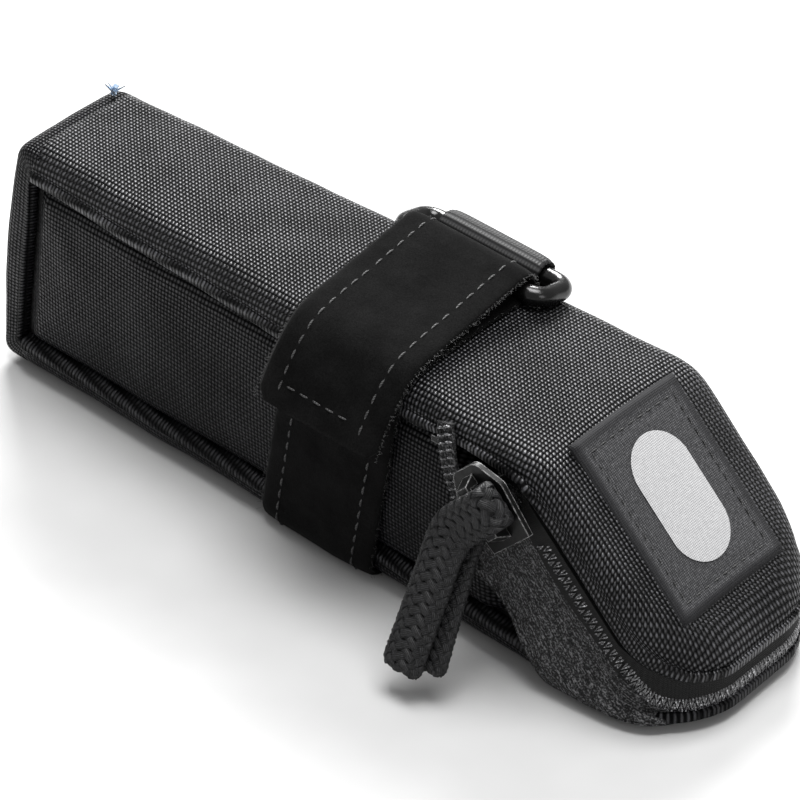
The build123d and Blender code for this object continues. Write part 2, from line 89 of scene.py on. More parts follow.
# Outline of the bag, from the frame
FRONT_X = low("front_panel").x
FLOOR_Z = low("bottom_panel").z
TOP_Z = high("front_panel").z
REAR_X = high("flap_panel").x
REAR_HALF = high("flap_panel").y
FOLD_X = joint("flap_hinge")["pos_m"][0] / MM
FRONT_HALF = 13.6
FRONT_LEAN = 7.0          # how far the front face's top edge lies behind its foot
BEND_X = 56.0             # where the roof bends down into the tongue
BEND_Z = FLOOR_Z + 46.7
REAR_CORNER = 16.0        # the two rear corners, seen from above
EDGE = 4.5                # rounding of the long edges
ROLL = 6.5                # how far the gusset rolls over onto the sides
CHAIN_DEPTH = 13.1        # middle of the zipper under the roof
CHAIN_REAR_Z = FLOOR_Z + 4.4
LIP_ABOVE_CHAIN = 5.0
WALL = 1.2                # thickness of the outer cloth
MOUTH_X = 34.5            # front end of the open stretch of the zipper
STRAP_LEAN = 0.17         # the strap leans rearwards as it climbs
STRAP_WIDTH = 30.0
STRAP = 1.6

ROOF_FALL = (TOP_Z - BEND_Z) / (BEND_X - FRONT_X - FRONT_LEAN)
TAPER = (REAR_HALF - FRONT_HALF) / (BEND_X - FRONT_X)


# Mesh helpers

def new_piece(name, points, faces, uvs=None, smooth=True):
    """A mesh object from points in millimetres. uvs has one (u, v) in millimetres for each point."""
    mesh = bpy.data.meshes.new(name)
    mesh.from_pydata([tuple(c * MM for c in p) for p in points], [], faces)
    if uvs is not None:
        layer = mesh.uv_layers.new(name="UVMap")
        for loop in mesh.loops:
            layer.data[loop.index].uv = uvs[loop.vertex_index]
    mesh.polygons.foreach_set("use_smooth", [smooth] * len(mesh.polygons))
    mesh.update()
    piece = bpy.data.objects.new(name, mesh)
    bpy.context.scene.collection.objects.link(piece)
    return piece


def grid_faces(rows, columns, closed=False, start=0, flip=False):
    """Faces of a grid of points numbered row by row; closed joins the last column to the first."""
    faces = []
    for i in range(rows - 1):
        for j in range(columns if closed else columns - 1):
            k = (j + 1) % columns
            face = (
                start + i * columns + j,
                start + i * columns + k,
                start + (i + 1) * columns + k,
                start + (i + 1) * columns + j,
            )
            faces.append(face[::-1] if flip else face)
    return faces


def finish_piece(piece, body, material, stands_for=()):
    """Gives a piece its material and its body, and hides the CAD nodes it stands for."""
    piece.data.materials.append(material)
    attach(piece, body)
    if stands_for:
        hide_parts(*stands_for)
    return piece


def thicken(piece, thickness, offset=-1.0):
    """Gives a sheet a thickness, in millimetres, on its inner side."""
    modifier = piece.modifiers.new("cloth_thickness", "SOLIDIFY")
    modifier.thickness = thickness * MM
    modifier.offset = offset
    modifier.use_even_offset = False
    return piece


def mix(a, b, share):
    """A point or a number between a and b."""
    return a + (b - a) * share


def ramp(value, start, end):
    """0 before start, 1 after end, smooth between."""
    t = min(max((value - start) / (end - start), 0.0), 1.0)
    return t * t * (3 - 2 * t)


# Outlines of the soft shell

def half_width(x):
    """Half the bag's width at x."""
    return min(REAR_HALF - TAPER * (BEND_X - x), REAR_HALF)


def roof_z(x):
    """Height of the roof: the top panel, a soft bend, and the tongue at 45 degrees."""
    soft = 1.6
    panel = BEND_Z + ROOF_FALL * (BEND_X - x)
    tongue = BEND_Z + 1.1 - (x - BEND_X)
    lower = min(panel, tongue)
    return lower - soft * math.log(math.exp((lower - panel) / soft) + math.exp((lower - tongue) / soft))


def chain_z(x):
    """Height of the zipper's middle line on the sides at x."""
    fall = CHAIN_DEPTH * math.hypot(1, ROOF_FALL)
    panel = BEND_Z + ROOF_FALL * (BEND_X - x) - fall
    slope = BEND_Z + BEND_X - CHAIN_DEPTH * math.sqrt(2) - x
    soft = 1.2
    lower = min(panel, slope)
    upper_line = lower - soft * math.log(
        math.exp((lower - panel) / soft) + math.exp((lower - slope) / soft))
    soft = 2.0
    higher = max(upper_line, CHAIN_REAR_Z)
    return higher + soft * math.log(
        math.exp((upper_line - higher) / soft) + math.exp((CHAIN_REAR_Z - higher) / soft))


def rim(start_x, step=1.6, rear_steps=14):
    """The U-shaped rim seen from above: (x, y, outward x, outward y), near side first, round the rear."""
    points = []
    corner_x = REAR_X - REAR_CORNER
    count = round((corner_x - start_x) / step)
    for i in range(count):
        x = start_x + (corner_x - start_x) * i / count
        lean = TAPER if x < BEND_X else 0.0
        size = math.hypot(1, lean)
        points.append((x, -half_width(x), -lean / size, -1 / size))
    corner_steps = 16
    inner_half = REAR_HALF - REAR_CORNER
    for i in range(corner_steps + 1):
        angle = math.radians(-90 + 90 * i / corner_steps)
        out = (math.cos(angle), math.sin(angle))
        points.append((corner_x + REAR_CORNER * out[0], -inner_half + REAR_CORNER * out[1], *out))
    for i in range(1, rear_steps):
        points.append((REAR_X, -inner_half + 2 * inner_half * i / rear_steps, 1.0, 0.0))
    near = points[:count + corner_steps + 1]
    points += [(x, -y, out_x, -out_y) for x, y, out_x, out_y in reversed(near)]
    return points, len(near), rear_steps


def rounded_corner(inner, corner, end, weight=0.72, steps=7):
    """Points on the curve that rounds a corner, as (along, down) pairs from inner to end."""
    points = []
    for i in range(steps + 1):
        t = i / steps
        a, b, c = (1 - t) ** 2, 2 * weight * t * (1 - t), t * t
        total = a + b + c
        points.append(tuple((a * p + b * q + c * r) / total for p, q, r in zip(inner, corner, end)))
    return points


CAP_ARC_STEPS = 7
CAP_LIP_STEPS = 6
LENGTH_STEP = 0.1
LENGTH_STEPS = 2400


def lengths_along(start_x, surface):
    """Length along a panel's middle line, from a little in front of start_x, by x to one decimal."""
    lengths = {}
    travelled, last = 0.0, None
    for i in range(LENGTH_STEPS):
        x = start_x - 10 + i * LENGTH_STEP
        z = surface(x, 0.0)
        if last is not None:
            travelled += math.hypot(LENGTH_STEP, z - last)
        last = z
        lengths[round(x, 1)] = travelled
    return lengths


def rolled_rows(outline, surface, lip_depth, lengths, side):
    """Rows of points from the lip's free edge (row 0) up to the inner edge of the rounding, and their UVs."""
    points, uvs = [], []
    for r in range(CAP_LIP_STEPS + CAP_ARC_STEPS + 1):
        for x, y, out_x, out_y in outline:
            depth = lip_depth(x, y)
            inner = Vector((x - out_x * EDGE, y - out_y * EDGE))
            z_rim = surface(x, y)
            z_inner = surface(inner.x, inner.y)
            down = min(EDGE, depth * 0.8)
            curve = rounded_corner((EDGE, z_inner), (0.0, z_rim), (0.0, z_rim - side * down))
            if r < CAP_LIP_STEPS:
                t = r / CAP_LIP_STEPS
                fall = mix(depth, down, t)
                tuck = 1.3 * (1 - t) ** 3
                puff = 0.8 * math.sin(math.pi * t)
                inset, z = tuck - puff, z_rim - side * fall
                arc = EDGE + (fall - down) + down * 0.8
            else:
                step = r - CAP_LIP_STEPS
                t = step / CAP_ARC_STEPS
                inset, z = curve[CAP_ARC_STEPS - step]
                arc = (1 - t) * (EDGE * 0.8 + down * 0.8)
            points.append((x - out_x * inset, y - out_y * inset, z))
            uvs.append((lengths[round(inner.x, 1)] + out_x * arc, inner.y + out_y * arc))
    return points, uvs


def cap(start_x, surface, lip_depth, side=1.0, crown=0.8, ripple=0.25):
    """A panel with its edges rolled over a U-shaped rim: the roof with side 1, the floor with side -1.

    surface(x, y) is the panel's height, and lip_depth(x, y) is how far its edge runs on past the rim.
    """
    outline, near_count, across = rim(start_x)
    columns = len(outline)
    rows = CAP_LIP_STEPS + CAP_ARC_STEPS + 1
    lengths = lengths_along(start_x, surface)
    points, uvs = rolled_rows(outline, surface, lip_depth, lengths, side)
    faces = grid_faces(rows, columns, flip=side > 0)
    # Inside of the rounding: rows across, from the front to the rear
    edge_row = (rows - 1) * columns
    grid = []
    for i in range(near_count):
        left, right = edge_row + i, edge_row + columns - 1 - i
        row = [left]
        a, b = points[left], points[right]
        for j in range(1, across):
            t = j / across
            if i == near_count - 1:
                row.append(edge_row + near_count - 1 + j)
                continue
            x, y = mix(a[0], b[0], t), mix(a[1], b[1], t)
            lift = side * crown * (1 - (2 * t - 1) ** 2)
            lift *= ramp(x, start_x - 5, start_x + 25) * (1 - ramp(x, REAR_X - 16, REAR_X - 6))
            row.append(len(points))
            points.append((x, y, surface(x, y) + lift))
            uvs.append((lengths[round(x, 1)], y))
        row.append(right)
        grid.append(row)
    for i in range(near_count - 1):
        for j in range(across):
            face = (grid[i][j], grid[i][j + 1], grid[i + 1][j + 1], grid[i + 1][j])
            faces.append(face[::-1] if side < 0 else face)
    return [rippled(p, ripple) for p in points], faces, uvs


NOISE_SEED = 1            # without it, noise_vector is seeded from the clock, and each run differs


def rippled(point, size):
    """A point moved a little, as soft cloth over foam is never quite flat."""
    where = Vector(point) / 17.0
    shift = noise.noise_vector(where) * size
    fine = noise.noise_vector(where * 3.1 + Vector((7, 3, 5))) * (size * 0.35)
    return tuple(Vector(point) + shift + fine)


def roof_surface(x, y):
    return roof_z(x)


LIP_LINE = 96.6           # x + z of the flap's free edge down the slope of the sides
SHORT_LIP = 4.2           # the flap's edge beside the open end of the zipper


def lip_rise(x):
    """How far the flap's free edge stays above the zipper's middle line at x."""
    level = mix(10.7, 5.2, (x - 72) / (REAR_X - 72)) if x > 72 else 10.7
    return mix(LIP_ABOVE_CHAIN, level, ramp(x, 47, 58))


def roof_lip(x, y):
    """How far the roof's edge runs down from the rim: the seam in front, the zipper behind the fold."""
    zipper = roof_z(x) - chain_z(x) - lip_rise(x)
    if y < 0 and x < 72:
        zipper = min(zipper, max(SHORT_LIP, roof_z(x) - (LIP_LINE - x)))
    return mix(ROLL, zipper, ramp(x, FOLD_X - 5, FOLD_X + 5))


def make_roof(cloth):
    """The top panel and the rear flap as one cloth, running on across the flap's fold."""
    points, faces, uvs = cap(FRONT_X + FRONT_LEAN + 5, roof_surface, roof_lip)
    piece = new_piece("top_and_flap", points, faces, uvs)
    thicken(piece, WALL)
    piece.data.materials.append(cloth)
    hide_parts("top_panel", "flap_panel")
    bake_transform(piece)
    return piece


def floor_surface(x, y):
    """The floor panel, which curls up a little at the rear."""
    return FLOOR_Z + 0.6 * ramp(x, REAR_X - 12, REAR_X)


def floor_lip(x, y):
    return mix(ROLL, 1.4, ramp(x, 45, 74))


def make_floor(cloth):
    """The floor panel with its edges rolled up onto the sides."""
    points, faces, uvs = cap(FRONT_X + 7, floor_surface, floor_lip, side=-1.0, crown=0.0)
    piece = new_piece("floor_panel", points, faces, uvs)
    thicken(piece, WALL)
    return finish_piece(piece, "bag", cloth, ["bottom_panel"])


FRONT_PROUD = 0.8         # how far the front stands proud of the CAD's face
FRONT_WIDER = 0.6         # and how much wider than the sides it is, on each side
FRONT_FULL = 1.4          # how far its middle bulges


def front_path():
    """The front's outline in the side view, from under the floor up and over the top edge.

    Each entry is (x, z, inner x, inner z): a point of the outer face and its partner on the seam.
    """
    lean = FRONT_LEAN / (TOP_Z - FLOOR_Z)
    foot = Vector((FRONT_X - FRONT_PROUD, FLOOR_Z))
    head = Vector((FRONT_X + FRONT_LEAN - FRONT_PROUD, TOP_Z))
    up = (head - foot).normalized()
    low_corner = foot + Vector((ROLL + lean * ROLL, ROLL))
    high_corner = head + Vector((ROLL - lean * ROLL, -ROLL - ROOF_FALL * ROLL))
    path = []

    def add(outer, inner):
        path.append((outer.x, outer.y, inner.x, inner.y))

    for i in range(3):
        add(foot + Vector((EDGE + 3 - i * 1.5, 0)), low_corner + Vector((1.5 - i * 0.7, 0)))
    for x, z in rounded_corner((EDGE, 0.0), (0.0, 0.0), (EDGE * up.x, EDGE * up.y), weight=1.6)[1:]:
        add(foot + Vector((x, z)), low_corner)
    steps = 26
    for i in range(1, steps):
        t = i / steps
        outer = foot + up * mix(EDGE, (head - foot).length - EDGE, t)
        outer.x -= FRONT_FULL * math.sin(math.pi * t)
        add(outer, Vector((low_corner.x, low_corner.y)).lerp(high_corner, t))
    for along, z in rounded_corner((0.0, -EDGE), (0.0, 0.0), (EDGE, -ROOF_FALL * EDGE), weight=1.1):
        add(head + Vector((along, z)) + (up.x * z) * Vector((1, 0)), high_corner)
    for i in range(1, 3):
        along = EDGE + i * 1.2
        add(head + Vector((along, -ROOF_FALL * along)), high_corner + Vector((i * 0.6, 0)))
    return path


def make_front(cloth):
    """The front panel, rolled over onto the sides, the floor and the top."""
    path = front_path()
    arc_steps, lip_steps, across = 7, 5, 14
    points, uvs = [], []
    travelled, last = 0.0, None
    for x, z, inner_x, inner_z in path:
        outer, inner = Vector((x, z)), Vector((inner_x, inner_z))
        if last is not None:
            travelled += (outer - last).length
        last = outer
        half = half_width(x) + FRONT_WIDER
        row = []
        for s in range(lip_steps):
            t = s / lip_steps
            share = mix(1.0, EDGE / ROLL, t)
            tuck = 1.3 * (1 - t) ** 3 - 0.9 * math.sin(math.pi * t)
            row.append((share, half - tuck, half + share * ROLL - EDGE * 0.4))
        for s in range(arc_steps + 1):
            along, down = rounded_corner((0.0, EDGE), (0.0, 0.0), (EDGE, 0.0), weight=2.2)[s]
            row.append((down / ROLL, half - along, half + down - along))
        for s in range(1, across):
            row.append((0.0, mix(half - EDGE, 0.0, 2 * s / across), mix(half - EDGE, 0.0, 2 * s / across)))
            if 2 * s >= across:
                break
        mirrored = [(share, -y, -v) for share, y, v in reversed(row[:-1])]
        for share, y, v in [(share, -y, -v) for share, y, v in row] + [(a, -b, -c) for a, b, c in mirrored]:
            place = outer.lerp(inner, min(share, 1.0))
            points.append(rippled((place.x, y, place.y), 0.25))
            uvs.append((travelled, v))
        columns = 2 * len(row) - 1
    faces = grid_faces(len(path), columns, flip=True)
    piece = new_piece("front_gusset", points, faces, uvs)
    thicken(piece, WALL)
    return finish_piece(piece, "bag", cloth, ["front_panel"])


def make_side(cloth, side, name, node):
    """A side panel, set in behind the rolled edge and slightly full in the middle."""
    columns, rows = 110, 34
    end_x = REAR_X - REAR_CORNER
    lean = FRONT_LEAN / (TOP_Z - FLOOR_Z)
    points, uvs = [], []
    for i in range(columns):
        rise = 0.0
        for j in range(rows):
            f = j / (rows - 1)
            guess = mix(FRONT_X + ROLL, end_x, i / (columns - 1))
            z_low = FLOOR_Z + floor_lip(guess, 0) - 1.2
            z_high = roof_z(guess) - ROLL + 1.0
            zipper = chain_z(guess) - LIP_ABOVE_CHAIN
            z_high = mix(z_high, zipper, ramp(guess, MOUTH_X, MOUTH_X + 3.5))
            z = mix(z_low, z_high, f)
            front = FRONT_X + ROLL - 0.8 + lean * (z - FLOOR_Z)
            x = mix(front, end_x, i / (columns - 1))
            edge = min(z - z_low, z_high - z, (x - front) * 1.2)
            groove = 3.2 * (1 - ramp(edge, 0.0, 5.0))
            full = 1.0 * ramp(edge, 0.0, 16.0) - 3.2 * ramp(x, 43, 50)
            y = half_width(x) - 0.5 - groove + full
            rise = rise + math.hypot(z - last[1], y - last[0]) if j else 0.0
            last = (y, z)
            points.append(rippled((x, side * y, z), 0.3))
            uvs.append((x, rise))
    faces = grid_faces(columns, rows, flip=side > 0)
    piece = new_piece(name, points, faces, uvs)
    thicken(piece, WALL)
    return finish_piece(piece, "bag", cloth, [node])


# Lines and bands

def resample(line, step):
    """Evenly spaced points along a line of points."""
    line = [Vector(p) for p in line]
    lengths = [0.0]
    for a, b in zip(line, line[1:]):
        lengths.append(lengths[-1] + (b - a).length)
    count = max(round(lengths[-1] / step), 1)
    points, k = [], 0
    for i in range(count + 1):
        want = lengths[-1] * i / count
        while k < len(line) - 2 and lengths[k + 1] < want:
            k += 1
        t = (want - lengths[k]) / (lengths[k + 1] - lengths[k])
        points.append(line[k].lerp(line[k + 1], min(t, 1.0)))
    return points


def smooth_line(points, step):
    """Evenly spaced points on a smooth curve through the given points."""
    points = [Vector(p) for p in points]
    ends = [points[0] * 2 - points[1]] + points + [points[-1] * 2 - points[-2]]
    dense = []
    for a, b, c, d in zip(ends, ends[1:], ends[2:], ends[3:]):
        for i in range(16):
            t = i / 16
            dense.append(0.5 * (b * 2 + (c - a) * t + (a * 2 - b * 5 + c * 4 - d) * t * t
                                + (b * 3 - a - c * 3 + d) * t ** 3))
    return resample(dense + [points[-1]], step)


def round_line(points, radius, steps=6):
    """A line of points with each inner corner rounded."""
    points = [Vector(p) for p in points]
    line = [points[0]]
    for before, corner, after in zip(points, points[1:], points[2:]):
        start = corner + (before - corner).normalized() * radius
        end = corner + (after - corner).normalized() * radius
        line += [Vector(p) for p in rounded_corner(start, corner, end, 0.8, steps)]
    return line + [points[-1]]


def outward(line, side):
    """Unit directions square to a line and to its width direction, one for each point."""
    outs = []
    for i in range(len(line)):
        along = line[min(i + 1, len(line) - 1)] - line[max(i - 1, 0)]
        outs.append(along.cross(side).normalized())
    return outs


def band(name, line, outs, side, width, thickness, ripple=0.0, ends=(True, True), edge=0.25, tip=0.0):
    """A flat woven band along a line: side is its width direction, or one for each point.

    ripple is its unevenness, and edge how much its long edges wander.

    ends says which ends are closed, and tip how far the corners of the last end are cut off.
    """
    columns = 26
    points, uvs, faces = [], [], []
    travelled = 0.0
    total = sum((b - a).length for a, b in zip(line, line[1:]))
    sides = side if isinstance(side, list) else [side] * len(line)
    for i, (middle, out, side) in enumerate(zip(line, outs, sides)):
        if i:
            travelled += (middle - line[i - 1]).length
        left = total - travelled
        half = width / 2 + edge * noise.noise(Vector((travelled / 3.0, width, 1.0)))
        if left < tip:
            half -= (tip - left) * 0.8
        lift = ripple * noise.noise(Vector((travelled / 14.0, thickness * 9, 4.0)))
        for face in (1, -1):
            columns_here = range(columns + 1) if face > 0 else range(columns - 1, 0, -1)
            for j in columns_here:
                share = -math.cos(math.pi * j / columns)
                reach = mix(share, 2 * j / columns - 1, 0.6) * half
                curl = ripple * noise.noise(Vector((travelled / 9.0, reach / 9.0, width)))
                height = thickness / 2 * math.sqrt(max(1 - abs(reach / half) ** 8, 0.0))
                points.append(middle + side * reach + out * (face * height + lift + curl))
                uvs.append((travelled, reach + (0 if face > 0 else 3 * width)))
    around = 2 * columns
    faces = grid_faces(len(line), around, closed=True)
    if ends[0]:
        faces.append(tuple(range(around)))
    if ends[1]:
        faces.append(tuple(len(points) - 1 - k for k in range(around)))
    return new_piece(name, points, faces, uvs)


def tubes(name, lines, radius, sides=6, outs=None, flat=1.0):
    """Many thin round or flattened tubes, one along each line, as one mesh.

    outs gives each line's thin direction at each point, and flat how much thinner it is that way.
    """
    points, uvs, faces = [], [], []
    for number, line in enumerate(lines):
        line = [Vector(p) for p in line]
        guide = Vector((0.31, 0.52, 0.79))
        start = len(points)
        travelled = 0.0
        for i, middle in enumerate(line):
            along = (line[min(i + 1, len(line) - 1)] - line[max(i - 1, 0)]).normalized()
            out = outs[number][i] if outs else guide
            out = (out - along * out.dot(along)).normalized()
            guide = out
            wide = along.cross(out)
            size = radius if 0 < i < len(line) - 1 else radius * 0.45
            if i:
                travelled += (middle - line[i - 1]).length
            for k in range(sides):
                angle = 2 * math.pi * k / sides
                beside = middle + wide * (size * math.cos(angle))
                points.append(beside + out * (size * flat * math.sin(angle)))
                uvs.append((travelled + number * 1.7, size * angle))
        faces += grid_faces(len(line), sides, closed=True, start=start)
        faces.append(tuple(range(start, start + sides)))
        faces.append(tuple(len(points) - 1 - k for k in range(sides)))
    return new_piece(name, points, faces, uvs)


def stitch_lines(line, outs, side, offset, height, stitch=2.3, gap=1.1, wander=0.18):
    """Short lines for the stitches of one row, laid on a band at that offset from its middle."""
    step = (line[1] - line[0]).length
    sides = side if isinstance(side, list) else [side] * len(line)
    period = max(round((stitch + gap) / step), 2)
    length = max(round(stitch / step), 1)
    rows = []
    for i in range(1, len(line) - length - 1, period):
        shift = wander * noise.noise(Vector((i * 0.37, offset, 2.0)))
        row = []
        for k in range(length + 1):
            t = k / length
            sink = -0.25 if k in (0, length) else 0.0
            place = line[i + k] + sides[i + k] * (offset + shift * (1 - 2 * t))
            place += outs[i + k] * (height + sink)
            row.append(place)
        rows.append(row)
    return rows


def fibres(line, outs, side, edge, length, count, seed):
    """Loose fibre ends along one edge of a band."""
    chance = np.random.default_rng(seed)
    sides = side if isinstance(side, list) else [side] * len(line)
    rows = []
    for _ in range(count):
        i = int(chance.integers(0, len(line)))
        side = sides[i]
        root = line[i] + side * (edge * (1 - 0.02 * chance.random()))
        root += outs[i] * chance.uniform(-0.5, 0.6)
        along = (line[min(i + 1, len(line) - 1)] - line[max(i - 1, 0)]).normalized()
        way = side * math.copysign(1.0, edge) * chance.uniform(0.3, 1.0)
        way += along * chance.uniform(-0.8, 0.8) + outs[i] * chance.uniform(-0.3, 0.8)
        size = length * chance.uniform(0.4, 1.0)
        bend = Vector(chance.uniform(-0.3, 0.3, 3))
        rows.append([root, root + way * (size * 0.5) + bend * (size * 0.3), root + way * size])
    return rows


# The zipper, on the unrolled sides

RIM, RIM_NEAR, _ = rim(30.0, step=0.8, rear_steps=18)
RIM_LENGTHS = [0.0]
for before, after in zip(RIM, RIM[1:]):
    RIM_LENGTHS.append(RIM_LENGTHS[-1] + math.hypot(after[0] - before[0], after[1] - before[1]))
RIM_X = [p[0] for p in RIM]


def side_point(s, z, out):
    """The point at length s along the rim and height z, out from the wall by that much."""
    x, y, out_x, out_y = (float(np.interp(s, RIM_LENGTHS, [p[k] for p in RIM])) for k in range(4))
    return Vector((x + out_x * out, y + out_y * out, z))


def rim_at(x, far=False):
    """The length along the rim at x, on the near side or the far side."""
    s = float(np.interp(x, RIM_X[:RIM_NEAR], RIM_LENGTHS[:RIM_NEAR]))
    return RIM_LENGTHS[-1] - s if far else s


def chain_line(start, end, step):
    """Points of the zipper's middle line as (s, z, down along s, down along z)."""
    count = round((end - start) / step)
    raw = []
    for i in range(count + 1):
        s = start + (end - start) * i / count
        raw.append((s, chain_z(float(np.interp(s, RIM_LENGTHS, RIM_X)))))
    line = []
    for i, (s, z) in enumerate(raw):
        before, after = raw[max(i - 1, 0)], raw[min(i + 1, count)]
        length = math.hypot(after[0] - before[0], after[1] - before[1])
        line.append((s, z, (after[1] - before[1]) / length, -(after[0] - before[0]) / length))
    return line


def tape_reach(s, z, down_z):
    """How far the zipper's lower tape runs below the middle line before it ends or meets the floor."""
    x = float(np.interp(s, RIM_LENGTHS, RIM_X))
    wide = 13.5 + 5.5 * ramp(x, 44, 50) - 3.5 * ramp(x, 54, 62)
    room = (z - FLOOR_Z - 0.6) / max(-down_z, 0.3)
    return min(wide, room)


def flare(s, share):
    """How far the lower tape bulges out round the rear corners."""
    x = float(np.interp(s, RIM_LENGTHS, RIM_X))
    return 2.6 * ramp(x, 58, 72) * (1 - ramp(x, 82, 90)) * ramp(share, 0.0, 0.8)


def far_lift(s):
    """How far the tape's end on the far side stands off the side panel that it lies over."""
    x = float(np.interp(s, RIM_LENGTHS, RIM_X))
    far = s > RIM_LENGTHS[-1] / 2
    return 1.8 * (1 - ramp(x, 48, 58)) if far else 0.0


def make_zip_tape(material):
    """The tape under the flap's lip, the chain's bed, and the wide lower tape with its selvedge."""
    line = chain_line(rim_at(45.0), rim_at(36.0, far=True), 1.0)
    upper = [(-7.0, -2.2), (-5.2, -1.2), (-3.4, -0.6), (-2.2, -0.3), (-1.2, 0.1), (0.0, 0.25), (1.2, 0.1)]
    lower_steps = 12
    points, uvs = [], []
    for i, (s, z, down_s, down_z) in enumerate(line):
        reach = tape_reach(s, z, down_z)
        rows = list(upper)
        for k in range(1, lower_steps + 1):
            t = k / lower_steps
            swell = 0.5 * math.sin(math.pi * t) + flare(s, t)
            rolled = 0.9 * ramp(t, 0.86, 0.95) - 1.6 * ramp(t, 0.93, 1.0)
            rows.append((mix(2.2, reach, t), 0.2 + swell + rolled + far_lift(s)))
        for down, out in rows:
            here = z + down_z * down
            tuck = 0.09 * max(FLOOR_Z + 5.0 - here, 0.0) ** 2
            points.append(rippled(side_point(s + down_s * down, here, out - tuck), 0.25))
            uvs.append((float(i), down))
    faces = grid_faces(len(line), len(upper) + lower_steps, flip=True)
    piece = new_piece("zip_tape", points, faces, uvs)
    thicken(piece, 0.8)
    return finish_piece(piece, "bag", material, ["zip_band"])


def loop_line(s, z, down_s, down_z, side, out):
    """One coil loop that crosses the chain's middle from one side of it."""
    shape = [(-0.34, -2.0, 0.1), (-0.3, -1.2, 0.85), (0.0, 0.45, 1.0), (0.3, -1.2, 0.85), (0.34, -2.0, 0.1)]
    points = []
    for along, across, height in shape:
        down = side * across
        points.append(side_point(s - down_z * along + down_s * down, z + down_s * along + down_z * down,
                                 out + height))
    return points


def make_coil(material):
    """The closed chain: two coils whose loops cross the middle line by turns."""
    pitch = 1.25
    lines = {"lower": [], "upper": []}
    line = chain_line(rim_at(56.0), rim_at(36.0, far=True), pitch / 2)
    for i, (s, z, down_s, down_z) in enumerate(line):
        side = 1.0 if i % 2 else -1.0
        x = float(np.interp(s, RIM_LENGTHS, RIM_X))
        rise = 3.6 * ramp(x, 52, 57) * (1 - ramp(x, 76, 88)) + 0.25 * noise.noise(Vector((i * 0.21, 1, 2)))
        place = (s - down_s * rise, z - down_z * rise)
        loop = loop_line(*place, down_s, down_z, side, 0.1)
        lines["lower" if side < 0 else "upper"].append(loop)
    lower = tubes("zip_coil_lower_loops", lines["lower"], 0.27, sides=5)
    finish_piece(lower, "bag", material, ["zip_coil_lower"])
    upper = tubes("zip_coil_upper_loops", lines["upper"], 0.27, sides=5)
    finish_piece(upper, "rear_flap", material, ["zip_coil_flap"])


def make_lip_stitches(thread):
    """Rows of slanting stitches along the flap's free edge, in pale thread whose colour is a painted glint.
    """
    rows = []
    line = chain_line(rim_at(50.0), rim_at(34.0, far=True), 1.15)
    for i, (s, z, down_s, down_z) in enumerate(line):
        x = float(np.interp(s, RIM_LENGTHS, RIM_X))
        up = lip_rise(x) * abs(down_z) - 0.6
        wander = 0.35 * noise.noise(Vector((i * 0.9, 3.0, 1.0)))
        for row, (rise, lean) in enumerate(((up + wander, 0.5), (up - 1.25 - wander, -0.45))):
            if noise.noise(Vector((i * 1.7, row * 5.0, 9.0))) < -0.25:
                continue
            points = []
            for t in (-1.0, 0.0, 1.0):
                down = -rise - 0.42 * t
                along = lean * t
                place = (s - down_z * along + down_s * down, z + down_s * along + down_z * down)
                points.append(side_point(*place, -0.35 + 0.35 * (1 - abs(t)) + 0.25))
            rows.append(points)
    piece = tubes("lip_stitches", rows, 0.17, sides=5)
    return finish_piece(piece, "rear_flap", thread)


MOUTH_LINE = [(38.2, 31.8), (36.9, 34.5), (35.4, 39.0), (34.4, 43.5), (33.6, 48.2)]


def make_mouth(tape, coil):
    """The zipper's open end: the loose tape up the side panel's edge, with its coil."""
    y = -half_width(36.0)
    line = smooth_line([(x, y - 1.0 - 0.4 * math.sin((z - 31.8) / 5), z) for x, z in MOUTH_LINE], 0.8)
    across = Vector((0.93, -0.12, 0.3)).normalized()
    outs = outward(line, across)
    strip = band("loose_tape", line, outs, across, 5.0, 0.8, ripple=0.2)
    finish_piece(strip, "bag", tape)
    loops = []
    for i in range(0, len(line) - 1, 2):
        middle, out = line[i], outs[i] * (1 if outs[i].y < 0 else -1)
        up = (line[i + 1] - line[i]).normalized()
        for shift in (-1.0, 1.1):
            place = middle + across * shift + up * (0.3 * shift)
            loops.append([place - across * 0.8 + out * 0.3, place - across * 0.3 + out * 0.95,
                          place + across * 0.4 + out * 1.0 + up * 0.25, place + across * 0.8 + out * 0.3])
    piece = tubes("loose_coil_loops", loops, 0.3, sides=5)
    return finish_piece(piece, "bag", coil, ["zip_coil_loose_end"])


# The pull cord

CORD_ROUTE = [
    (44.9, -41.4, 6.6), (44.6, -35.4, 19.6), (43.9, -28.9, 33.2), (46.6, -28.3, 36.9), (50.4, -28.2, 40.7),
    (51.6, -28.9, 41.9), (52.0, -30.3, 42.3), (51.6, -31.7, 41.9), (50.2, -32.3, 40.5),
    (46.4, -32.3, 36.8), (42.9, -32.6, 32.6), (42.3, -38.2, 19.8), (41.4, -44.4, 6.4),
]
CORD_STEP = 0.5
STRANDS_EACH_WAY = 7
BRAID_LAY = 17.0          # length of one strand's full turn


def cord_spline():
    """Points along the pull cord's middle line, in millimetres, evenly spaced."""
    curve = bpy.data.curves.new("cord_route", "CURVE")
    curve.dimensions = "3D"
    spline = curve.splines.new("NURBS")
    spline.points.add(len(CORD_ROUTE) - 1)
    for point, place in zip(spline.points, CORD_ROUTE):
        point.co = (*(c * MM for c in place), 1.0)
    spline.order_u = 3
    spline.use_endpoint_u = True
    spline.resolution_u = 24
    holder = bpy.data.objects.new("cord_route", curve)
    mesh = bpy.data.meshes.new_from_object(holder)
    points = [vertex.co / MM for vertex in mesh.vertices]
    bpy.data.meshes.remove(mesh)
    bpy.data.objects.remove(holder)
    return resample(points, CORD_STEP)


